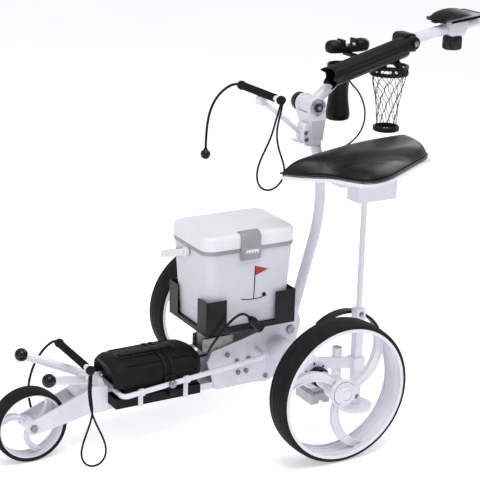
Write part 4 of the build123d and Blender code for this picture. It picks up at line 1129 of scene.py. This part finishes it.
def scorecard_holder():
    """Black rimmed grey plate under a humped clip, over a knurled knob."""
    tilt = Vector((1, 0, -0.12)).normalized()
    lift = Vector((0.12, 0, 1)).normalized()
    at = CARD + Vector((-4, 0, 22))
    rim = round_rectangle(112, 92, 9)
    inner = round_rectangle(104, 84, 6)
    points, faces = ring_between(rim, inner, 0.4, 5.0, (0, 0))
    seat = Matrix((tilt, Vector(Y_AXIS), lift)).transposed()
    edge = ([at + seat @ p for p in points], faces)
    under = slab(rim, at, tilt, Y_AXIS, -0.6, 1.0, 0.5, 2)
    tongue = slab([(50, -16), (66, -9), (66, 9), (50, 16)], at, tilt, Y_AXIS, -1.2, 2.4, 1.0, 2)
    add_piece("scorecard_rim", [edge, under, tongue], BLACK_MOULDING, "handle", "scorecard_plate")
    ridge = []
    for u, low, high, half in (
        (53, 21.5, 25.5, 27), (47, 24.5, 32, 32), (37, 30.0, 38.5, 34), (22, 33.5, 42.5, 35),
        (7, 35.2, 44.0, 34),
        (-10, 35.6, 42.6, 31), (-24, 35.0, 39.0, 27), (-35, 34.2, 36.6, 22),
    ):
        for k in range(13):
            share = k / 12
            y = half * (2 * share - 1)
            ridge.append(Vector((CARD.x + u, y, CARD.z + high - (high - low) * abs(2 * share - 1) ** 2.4)))
        for k in range(13):
            share = k / 12
            y = half * (1 - 2 * share) * 0.97
            ridge.append(Vector((CARD.x + u, y, CARD.z + low - 0.2)))
    add_piece(
        "scorecard_clip_cover", [(ridge, skin(8, 26))], BLACK_MOULDING, "clip", "scorecard_clip",
        "scorecard_clip", crease=50
    )
    profile = [
        (4, 829.4), (19.5, 829.4), (22.0, 831.5), (22.6, 835), (22.6, 856), (21.6, 860), (19.4, 862.2),
        (4, 862.2)
    ]
    knurl = capped(
        profile, (-475, 0, 0), Z_AXIS, 144, lambda a, row: 0.45 * cos(36 * a) if 2 <= row <= 4 else 0.0
    )
    add_piece(
        "scorecard_knob_cap", [knurl], BLACK_GLOSS, "card_knob", "scorecard_knob", "scorecard_knob",
        crease=45
    )
    saddle = slab(
        [(-26, -4), (-20, -19), (20, -19), (26, -4), (30, 16), (-30, 16)], (CARD.x, 0, CARD.z), X_AXIS,
        Z_AXIS, -19, 19, 3.0
    )
    add_piece("scorecard_saddle", [saddle], WHITE_ENAMEL, "handle", "scorecard_plate")


scorecard_holder()


# ---------------------------------------------------------------- strap bars, knots and balls
def strap_bar(x, z, name, node):
    """Foam sleeve on a white rod with a moulded tip at the near end."""
    foam = [
        (5.6, -79), (8.2, -78.6), (9.0, -76), (8.8, -40), (8.9, 0), (8.8, 30), (9.0, 60), (8.2, 62.6),
        (5.6, 63)
    ]
    add_piece(name + "_foam", [turned(foam, (x, 0, z), Y_AXIS, 40)], FOAM, "frame", node, node)
    tip = [
        (2, 60), (6.0, 60), (6.2, 66), (7.0, 67), (7.0, 73), (6.2, 74), (6.0, 79), (5.0, 80.5), (2, 80.5)
    ]
    tips = [capped(tip, (x, 0, z), Y_AXIS, 32)]
    add_piece(name + "_tip", tips, WHITE_ENAMEL, "frame", node)


def overhand_knot(at, size, cord):
    """A tightened knot: a closed three-lobed turn of cord about the Y axis."""
    route = []
    for k in range(72):
        t = 2 * pi * k / 72
        u, v, w = sin(t) + 2 * sin(2 * t), cos(t) - 2 * cos(2 * t), -sin(3 * t)
        route.append(Vector(at) + Vector((u * size / 3, w * size * 0.42, v * size / 3)))
    return swept(route, cord, 10, closed=True)


def straps_and_balls():
    """Bars, knots on their ends and the cradle's rubber balls."""
    strap_bar(UPPER_BAR.x / MM, UPPER_BAR.z / MM, "upper_bar", "upper_strap_bar")
    strap_bar(LOWER_BAR.x / MM, LOWER_BAR.z / MM, "lower_bar", "lower_strap_bar")
    strut = swept([(478, 12, 160), (483, 27, 175), (490, 45, 192), (496, 60, 208), (500, 72, 220)], 5.0, 16)
    add_piece("lower_bar_strut", [strut], WHITE_ENAMEL, "frame", "lower_strap_bar")
    knots = []
    for bar in (UPPER_BAR, LOWER_BAR):
        for side in (1, -1):
            at = Vector((bar.x / MM, side * 87.0, bar.z / MM))
            knots.append(overhand_knot(at, 8.2, 3.3))
            core = [(1.5, -9.5), (7.0, -8), (10.2, -3), (10.2, 3), (7.0, 8), (1.5, 9.5)]
            knots.append(capped(core, at, Y_AXIS, 24))
    add_piece("strap_knot_turns", knots, ELASTIC, "frame", "strap_knots", "strap_knots", crease=60)
    cradle_balls = []
    for side in (1, -1):
        end = Vector((593, side * 80, 213))
        start = Vector((452, side * 12, 162))
        cradle_balls.append(ball_end(end, (end - start).normalized(), 15.4))
    add_piece("cradle_balls", cradle_balls, BLACK_GLOSS, "frame", "strap_knots", crease=60)


straps_and_balls()


# ---------------------------------------------------------------- cooler
def cooler_wall(z):
    """Half width, half depth and corner of the cooler's outer wall at a height."""
    share = (z - 260.3) / (445.7 - 260.3)
    return 105 + 11 * share, 77 + 9 * share, 28


def wall_outline(z, proud):
    """Outline of the cooler's wall at a height, moved outwards by proud."""
    half_x, half_y, corner = cooler_wall(z)
    return round_rectangle(2 * (half_x + proud), 2 * (half_y + proud), corner + proud, 8)


def wall_band(z_low, z_high, proud, sunk=0.6):
    """A band round the cooler between two heights."""
    outer = wall_outline((z_low + z_high) / 2, proud)
    inner = wall_outline((z_low + z_high) / 2, -sunk)
    return ring_between(outer, inner, z_low, z_high, (COOLER_X / MM, 0))


def flat_mark(outline, at_z, x):
    """A thin printed shape on the cooler's front face, in the face's own plane."""
    lean = 9 / (445.7 - 260.3)
    up = Vector((0, lean, 1)).normalized()
    y = 77 + (at_z - 260.3) * lean
    return slab(outline, (x, y, at_z), (-1, 0, 0), up, 0.05, 0.35)


def arc_strip(radius, width, start, end, steps=18):
    """Outline of a curved strip."""
    outline = []
    for edge, order in ((radius + width / 2, range(steps + 1)), (radius - width / 2, range(steps, -1, -1))):
        for k in order:
            angle = radians(start + (end - start) * k / steps)
            outline.append((edge * cos(angle), edge * sin(angle)))
    return outline


def cooler_details():
    """Seal band, foot line, latch with its window, bail bosses and a plain golf motif."""
    add_piece("cooler_seal_band", [wall_band(436.5, 445.5, 2.2)], GREY_ABS, "cooler", "cooler_body")
    add_piece(
        "cooler_foot_line", [wall_band(292, 293.6, 0.7), wall_band(262, 266, 1.0)], COOLER_SHELL, "cooler",
        "cooler_body"
    )
    side = [
        (70, 480.9), (82, 481.2), (88, 479.4), (92.4, 474.6), (93.6, 468), (93.0, 446), (95.6, 444),
        (95.6, 424), (92.5, 417.5), (88.6, 417.5), (88.6, 470), (86.6, 475), (82.4, 477.8), (70, 478.2)
    ]
    plate = slab(side, (113, 0, 0), Y_AXIS, Z_AXIS, -25, 25, 1.6, 3)
    add_piece("cooler_latch_plate", [plate], GREY_ABS, "latch", "cooler_latch", "cooler_latch")
    window = slab(round_rectangle(32, 8.5, 2, 3), (111, 95.2, 437.5), (-1, 0, 0), Z_AXIS, 0.0, 1.0, 0.4, 1)
    add_piece("cooler_latch_window", [window], COOLER_WHITE, "latch", "cooler_latch")
    teeth = []
    for k in range(4):
        teeth.append(brick((99.5 + k * 7.2, 103.0 + k * 7.2), (95.6, 96.9), (433.6, 437.0), 0.3, 1))
    add_piece("cooler_latch_teeth", teeth, GREY_ABS, "latch", "cooler_latch")
    bosses = []
    for end in (1, -1):
        x = COOLER_X / MM + end * 125.0
        bosses.append(
            capped([(1, 0.2), (9.6, 0.2), (10.6, -0.8), (10.6, -3), (1, -3)], (x, 0, 425), (end, 0, 0), 36)
        )
        bosses.append(
            turned([(4.6, 0.1), (5.4, 0.9), (6.6, 0.9), (7.4, 0.1)], (x, 0, 425), (end, 0, 0), 36)
        )
    add_piece("bail_bosses", bosses, COOLER_WHITE, "bail", "cooler_bail")
    pole = flat_mark([(-1.2, -40), (1.2, -40), (1.2, 40), (-1.2, 40)], 358, 96)
    pennant = flat_mark([(1.2, 40), (34, 28.5), (1.2, 17)], 358, 96)
    green = flat_mark(arc_strip(120, 2.2, 254, 286), 438, 96)
    ball_dot = flat_mark(round_rectangle(10, 10, 4.9, 8), 326, 70)
    add_piece("motif_pole_and_green", [pole, green, ball_dot], BLACK_MOULDING, "cooler", "cooler_body")
    add_piece("motif_pennant", [pennant], RED_ABS, "cooler", "cooler_body")


cooler_details()


# ---------------------------------------------------------------- wheels, motors and small parts
def rear_wheel_and_motor(side, name):
    """Tyre with a crowned tread and shallow grooves, rim lips, hub, motor cap and collar grip."""
    profile = [(151.1, -31), (154, -31.0), (158.0, -30.2), (159.4, -28)]
    for y in (-21, -7, 7, 21):
        lift = 162 - 3.0 * (y / 31) ** 2
        profile += [(lift, y - 2.0), (lift - 0.9, y - 1.0), (lift - 0.9, y + 1.0), (lift, y + 2.0)]
    profile += [(159.4, 28), (158.0, 30.2), (154, 31.0), (151.1, 31)]
    ring = turned(profile, (0, side * 294.5, 162), Y_AXIS, 128)
    add_piece(
        "rear_tyre_ring_" + name, [ring], TYRE, "wheel_" + name, "rear_tyre_" + name, "rear_tyre_" + name,
        crease=40
    )
    flanges = []
    for y in (-30.6, 30.6):
        lip = [(143.5, y - 0.7), (150.9, y - 0.7), (151.0, y + 0.7), (143.5, y + 0.7)]
        flanges.append(turned(lip, (0, side * 294.5, 162), Y_AXIS, 128))
    hub = [(12.5, 327.0), (12.7, 329.6), (15.4, 329.6), (17.4, 328.4), (18.0, 327.0)]
    flanges.append(turned(hub, REAR_AXLE, (0, side, 0), 48))
    dish = [(27.8, 318), (30.5, 318), (31.4, 315), (31.4, 309), (27.8, 309)]
    flanges.append(turned(dish, REAR_AXLE, (0, side, 0), 64))
    add_piece("rear_rim_lips_" + name, flanges, RIM_WHITE, "wheel_" + name, "rear_rim_" + name, crease=40)
    cap = [(1, 329.8), (6.4, 329.6), (8.8, 328.8), (9.4, 327.8), (1, 327.8)]
    add_piece(
        "hub_bolt_" + name, [capped(cap, REAR_AXLE, (0, side, 0), 6)], BOLT_STEEL, "wheel_" + name,
        "rear_rim_" + name
    )
    cap = [(16, 198.2), (30, 198.2), (32.5, 197.2), (33.4, 195.4), (16, 195.4)]
    add_piece(
        "motor_cap_" + name, [turned(cap, REAR_AXLE, (0, side, 0), 64)], RIM_WHITE, "frame", "motor_" + name
    )
    screws = []
    for k in range(6):
        angle = 2 * pi * k / 6 + 0.4
        spot = Vector((26 * cos(angle), side * 198.0, 162 + 26 * sin(angle)))
        screws.append(
            capped([(0.5, 0), (2.6, 0), (2.8, 0.6), (2.2, 1.6), (0.5, 1.7)], spot, (0, side, 0), 16)
        )
    add_piece("motor_screws_" + name, screws, BLACK_MOULDING, "frame", "motor_" + name)
    teeth = turned(
        [(15.4, 204), (20.6, 204), (21.6, 206), (21.6, 223), (20.6, 225), (15.4, 225)], REAR_AXLE,
        (0, side, 0), 144, lambda a, row: 0.7 * cos(18 * a) if 1 <= row <= 4 else 0.0
    )
    add_piece(
        "collar_grip_" + name, [teeth], BLACK_MOULDING, "collar_" + name, "wheel_collar_" + name,
        "wheel_collar_" + name, crease=45
    )
    bands = []
    for y in (112, 150, 190):
        bands.append(
            turned([(34.6, y), (36.2, y + 1), (36.2, y + 4), (34.6, y + 5)], REAR_AXLE, (0, side, 0), 64)
        )
    add_piece("motor_bands_" + name, bands, WHITE_ENAMEL, "frame", "motor_" + name)


DIAL_AXIS = (-612, -11, 0)


def small_parts():
    """Hinge, bag bracket, seat lever, screws, controller fins and control marks."""
    knob = [
        (3, 30.6), (12, 30.8), (16, 32.5), (20.2, 36), (21.2, 40), (21.2, 50), (19.6, 55), (14, 57.6),
        (3, 58.0)
    ]
    grip = capped(knob, HINGE, (0, -1, 0), 120, lambda a, row: 0.6 * cos(20 * a) if 3 <= row <= 6 else 0.0)
    add_piece("hinge_knob_grip", [grip], BLACK_GLOSS, "knob", "hinge_knob", "hinge_knob", crease=45)
    collar = capped(
        [(3, 30), (10.8, 30), (11.2, 31), (11.2, 35.8), (10.6, 36.6), (3, 36.6)], HINGE, Y_AXIS, 6
    )
    add_piece("hinge_bolt_head", [collar], BLACK_GLOSS, "frame", "post")
    pin = capped([(1, 36.4), (4.4, 36.4), (4.9, 37.0), (4.6, 38.0), (1, 38.2)], HINGE, Y_AXIS, 24)
    add_piece("hinge_pin_end", [pin], BOLT_STEEL, "frame", "frame_bolts")
    cheek = [(10, 30.0), (19.5, 30.0), (21.0, 30.9), (22.4, 30.2), (23.4, 28.0), (23.4, 26.0), (10, 26.0)]
    add_piece("hinge_cheek_ring", [turned(cheek, HINGE, Y_AXIS, 56)], WHITE_ENAMEL, "frame", "post")
    lever = [(-268, 118.5, 588), (-285, 121, 592), (-303, 122, 597), (-322, 122, 601), (-338, 121, 603)]
    rod = swept(lever, lambda s: 5.2 if s < 0.7 else 6.6, 14)
    add_piece("seat_box_lever", [rod], WHITE_ENAMEL, "frame", "seat_bracket")
    wrap = [(-112, 637), (-72, 637), (-58, 655), (-60, 689), (-72, 692), (-96, 689)]
    arm = [(-70, 668), (-62, 660), (-20, 695), (46, 748), (40, 756), (-24, 706)]
    hook = [(-76, 641), (-40, 652), (-43, 657), (-76, 652)]
    seat_block = [(34, 742), (52, 742), (53, 756), (48, 764), (40, 764), (35, 756)]
    castings = ((wrap, 16.6, 4.5), (arm, 8.6, 2.6), (hook, 4.8, 1.4), (seat_block, 11.5, 2.2))
    shells = []
    for outline, half, corner in castings:
        shells.append(slab(outline, (0, 0, 0), X_AXIS, Z_AXIS, -half, half, corner, 4))
    add_piece("bag_bracket_casting", shells, WHITE_ENAMEL, "frame", "bag_bracket", "bag_bracket", crease=40)
    screws = []
    for x, z in ((-68, 655), (-66, 671), (-76, 702)):
        screws += screw_head((x, 17.6, z), Y_AXIS, 3.4, 2.6)
    for x, y in ((128, 12), (184, 12), (128, -12), (184, -12)):
        screws += screw_head((x, y, 216.2), Z_AXIS, 3.6, 2.8)
    add_piece("bracket_screws", screws, BOLT_STEEL, "frame", "frame_bolts")
    leg_bolts = screw_head((-187, 100.2, 240), Y_AXIS, 4.6, 3.4)
    leg_bolts += screw_head((-187, 98.2, 30), Y_AXIS, 3.6, 2.6)
    add_piece("leg_bolts", leg_bolts, BOLT_STEEL, "leg", "seat_leg_lower")
    fins = []
    for k in range(6):
        fins.append(brick((-44 + k * 7.4, -41 + k * 7.4), (122, 186), (104.4, 108.4), 0.6, 1))
    add_piece("controller_fins", fins, CAST_GREY, "frame", "controller_box")
    marks = []
    for k in range(9):
        angle = radians(-45 - 270 * k / 8)
        out = Vector((cos(angle), sin(angle), 0))
        spot = Vector((-612, -11, 922.3)) + out * 17.6
        marks.append(
            slab(round_rectangle(3.0, 0.9, 0.4, 2), spot, out, Vector((-out.y, out.x, 0)), 0.0, 0.5)
        )
    add_piece("dial_marks", marks, COOLER_WHITE, "handle", "control_head")
    dial = [(2, 931.8), (11, 931.8), (13.8, 931.2), (14.6, 929.4), (15.0, 923), (2, 923)]
    cap = capped(dial, DIAL_AXIS, Z_AXIS, 96, lambda a, row: 0.4 * cos(24 * a) if row in (2, 3) else 0.0)
    pointer = slab(round_rectangle(9, 1.6, 0.7, 2), (-604, -11, 931.6), X_AXIS, Y_AXIS, 0.2, 0.8)
    add_piece("speed_dial_cap", [cap], BLACK_GLOSS, "dial", "speed_dial", "speed_dial", crease=45)
    add_piece("speed_dial_pointer", [pointer], COOLER_WHITE, "dial", "speed_dial")


for side, name in ((1, "left"), (-1, "right")):
    rear_wheel_and_motor(side, name)
small_parts()

# ---------------------------------------------------------------- end
with open("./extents.json", "w") as out:
    json.dump({"cad": [list(c) for c in CAD_BOX], "visual": [list(c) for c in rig.bounds()]}, out)
